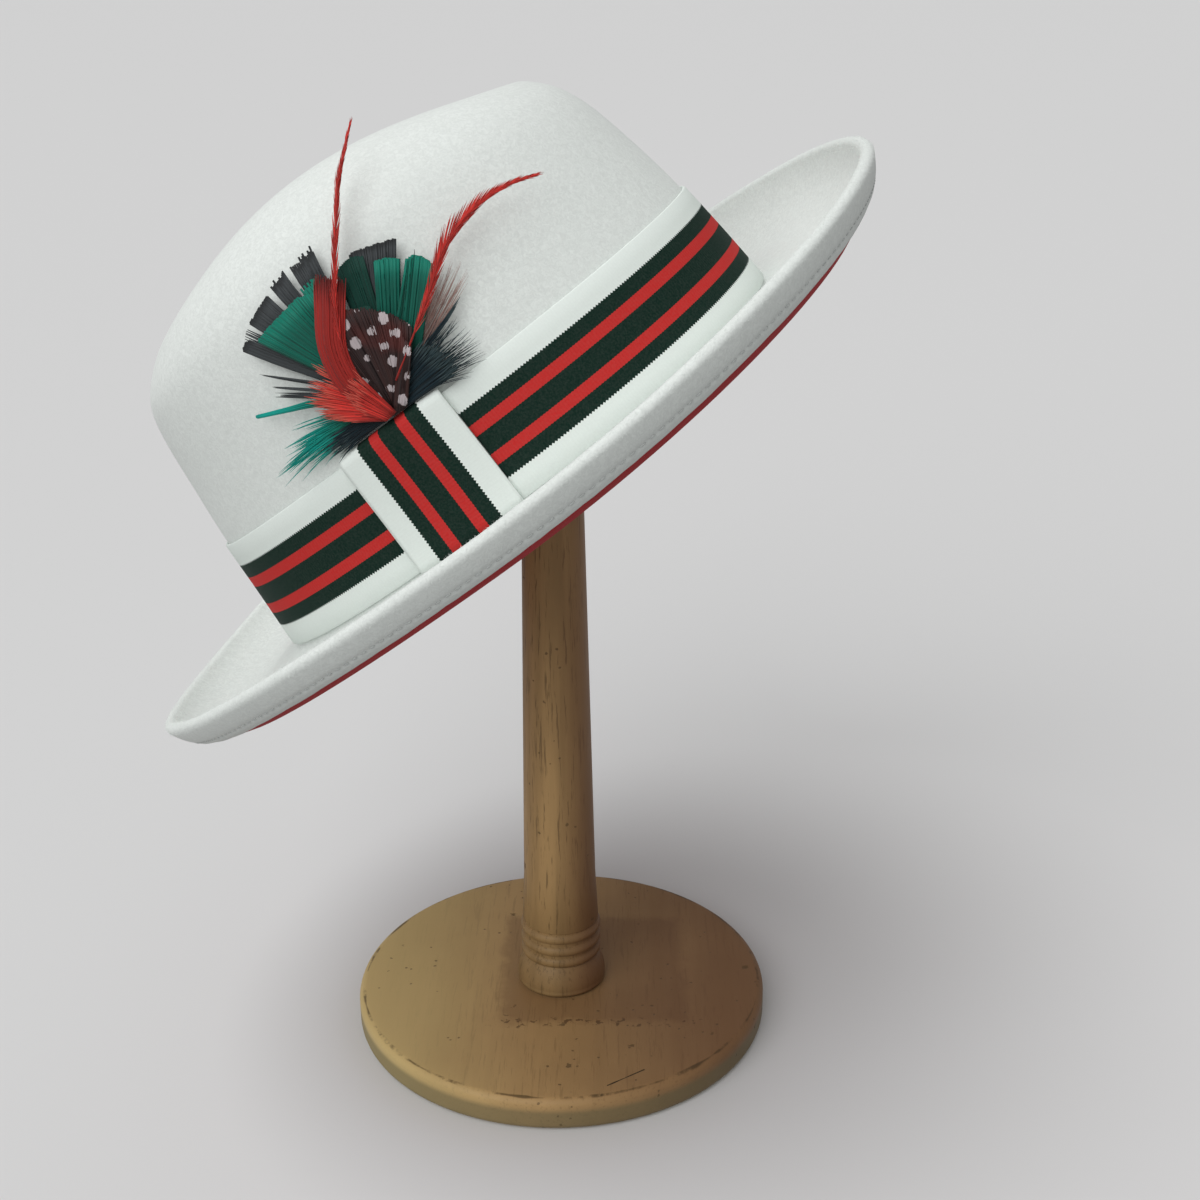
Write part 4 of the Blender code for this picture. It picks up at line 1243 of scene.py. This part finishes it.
class FEDORA_OT_stand(bpy.types.Operator):
    """Turned wooden stand: a round base and a tapering post with ring mouldings"""

    bl_idname = "fedora.stand"
    bl_label = "Hat stand"

    def execute(self, context):
        radius = sizes().base_diameter / 2 - BASE_ROUND
        profile = [(radius * share, BASE_THICKNESS) for share in (0, 0.25, 0.5, 0.75, 0.95)]
        profile += arc(radius, BASE_THICKNESS - BASE_ROUND, BASE_ROUND, 90, 0, 10)
        profile += arc(radius, BASE_ROUND, BASE_ROUND, 0, -90, 8) + [(radius / 2, 0), (0, 0)]
        base = turned("stand_base_board", profile, 160)
        finish_piece(base, wood_paint("base_wood", 1, radius, True), "wood", "stand_base")
        post = turned("stand_post_turning", self.post_profile(), 96)
        finish_piece(post, wood_paint("post_wood", 2, POST_FOOT / 2, False), "wood", "stand_post")
        return {"FINISHED"}

    def post_profile(self):
        """From the round knob down the tapering shaft, over three beads, to the flared foot."""
        bottom = BASE_THICKNESS + FELT_GAP
        neck = sizes().stand_height - 2 * KNOB
        start = bottom + BEAD_HEIGHTS[0] + SHAFT_START
        profile = [(0, sizes().stand_height)] + arc(0, neck + KNOB, KNOB, 86, -62, 24)[:-1]
        for share in np.linspace(0, 1, 14):
            swell = BEAD_ROUND * 0.25 * max(0.0, share - 0.97) / 0.03
            radius = (POST_TOP + (POST_FOOT - POST_TOP) * share) / 2 + swell
            profile.append((radius, neck + (start - neck) * share))
        for height in BEAD_HEIGHTS:
            profile += arc(BEAD / 2 - BEAD_ROUND, bottom + height, BEAD_ROUND, 66, -66, 10)
        last = bottom + BEAD_HEIGHTS[-1] - BEAD_ROUND
        for share in np.linspace(0, 1, 6):
            flare = (FOOT - BEAD + BEAD_ROUND) / 2 * math.sin(share * math.pi / 2) ** 0.8
            profile.append((BEAD / 2 - BEAD_ROUND / 2 + flare, last + (bottom + FOOT_EDGE - last) * share))
        profile += arc(FOOT / 2 - FOOT_ROUND, bottom + FOOT_ROUND, FOOT_ROUND, 25, -90, 8)
        return profile + [(0, bottom)]


class FEDORA_OT_stage(bpy.types.Operator):
    """Pale floor, soft studio lights and the camera"""

    bl_idname = "fedora.stage"
    bl_label = "Stage"

    def execute(self, context):
        bpy.ops.object.select_all(action="DESELECT")
        bpy.ops.mesh.primitive_plane_add(size=FLOOR_WIDTH, location=(0, 0, 0))
        floor = context.object
        floor.name = "floor"
        paint = Paint("pale_floor", Roughness=0.9, Base_Color=(FLOOR_TONE, FLOOR_TONE, FLOOR_TONE, 1))
        floor.data.materials.append(paint.material)
        floor.visible_diffuse = False
        self.light("key_light", *KEY_LIGHT)
        self.light("top_light", *TOP_LIGHT)
        world = bpy.data.worlds.new("studio")
        context.scene.world = world
        world.use_nodes = True
        sky = world.node_tree.nodes["Background"].inputs
        sky["Color"].default_value = (1, 1, 1, 1)
        sky["Strength"].default_value = SKY_STRENGTH
        context.scene.view_settings.view_transform = "Standard"
        self.camera(context)
        return {"FINISHED"}

    def light(self, name, towards, softness, strength):
        """A broad soft light from a direction, as wide in the sky as its softness in degrees."""
        bpy.ops.object.light_add(type="SUN", location=towards)
        lamp = bpy.context.object
        lamp.name = lamp.data.name = name
        lamp.data.angle = math.radians(softness)
        lamp.data.energy = strength
        lamp.rotation_euler = (-Vector(towards)).to_track_quat("-Z", "Y").to_euler()

    def camera(self, context):
        """The photograph's own view of the hat."""
        bpy.ops.object.camera_add()
        camera = context.object
        camera.data.lens = LENS
        camera.data.sensor_width = SENSOR
        camera.data.clip_start = 10 * MM
        turn = Matrix.Rotation(CAMERA_YAW, 3, "Z") @ Matrix.Rotation(-CAMERA_PITCH, 3, "X")
        right, ahead, up = turn.col
        level = math.cos(CAMERA_ROLL) * right + math.sin(CAMERA_ROLL) * up
        above = math.cos(CAMERA_ROLL) * up - math.sin(CAMERA_ROLL) * right
        facing = Matrix((level, above, -ahead)).transposed().to_4x4()
        camera.matrix_world = Matrix.Translation(CAMERA_PLACE) @ facing
        context.scene.camera = camera


OPERATORS = (
    FEDORA_OT_outer_felt,
    FEDORA_OT_inner_felt,
    FEDORA_OT_sweatband,
    FEDORA_OT_ribbons,
    FEDORA_OT_plume,
    FEDORA_OT_hackles,
    FEDORA_OT_stand,
    FEDORA_OT_stage,
)


class FEDORA_PT_panel(bpy.types.Panel):
    """Lists the pieces, sizes and colours"""

    bl_label = "Fedora"
    bl_idname = "FEDORA_PT_panel"
    bl_space_type = "VIEW_3D"
    bl_region_type = "UI"
    bl_category = "Fedora"

    def draw(self, context):
        for group in (context.scene.hat_sizes, context.scene.hat_colours):
            for name in group.__annotations__:
                self.layout.prop(group, name)
        for operator in OPERATORS:
            self.layout.operator(operator.bl_idname)


CLASSES = (HatSizes, HatColours, *OPERATORS, FEDORA_PT_panel)


def register():
    for cls in CLASSES:
        bpy.utils.register_class(cls)
    bpy.types.Scene.hat_sizes = bpy.props.PointerProperty(type=HatSizes)
    bpy.types.Scene.hat_colours = bpy.props.PointerProperty(type=HatColours)


def unregister():
    del bpy.types.Scene.hat_colours
    del bpy.types.Scene.hat_sizes
    for cls in reversed(CLASSES):
        bpy.utils.unregister_class(cls)


def main():
    register()
    bpy.ops.fedora.outer_felt()
    bpy.ops.fedora.inner_felt()
    bpy.ops.fedora.sweatband()
    bpy.ops.fedora.ribbons()
    bpy.ops.fedora.plume()
    bpy.ops.fedora.hackles()
    bpy.ops.fedora.stand()
    bpy.ops.fedora.stage()


if __name__ == "__main__":
    main()
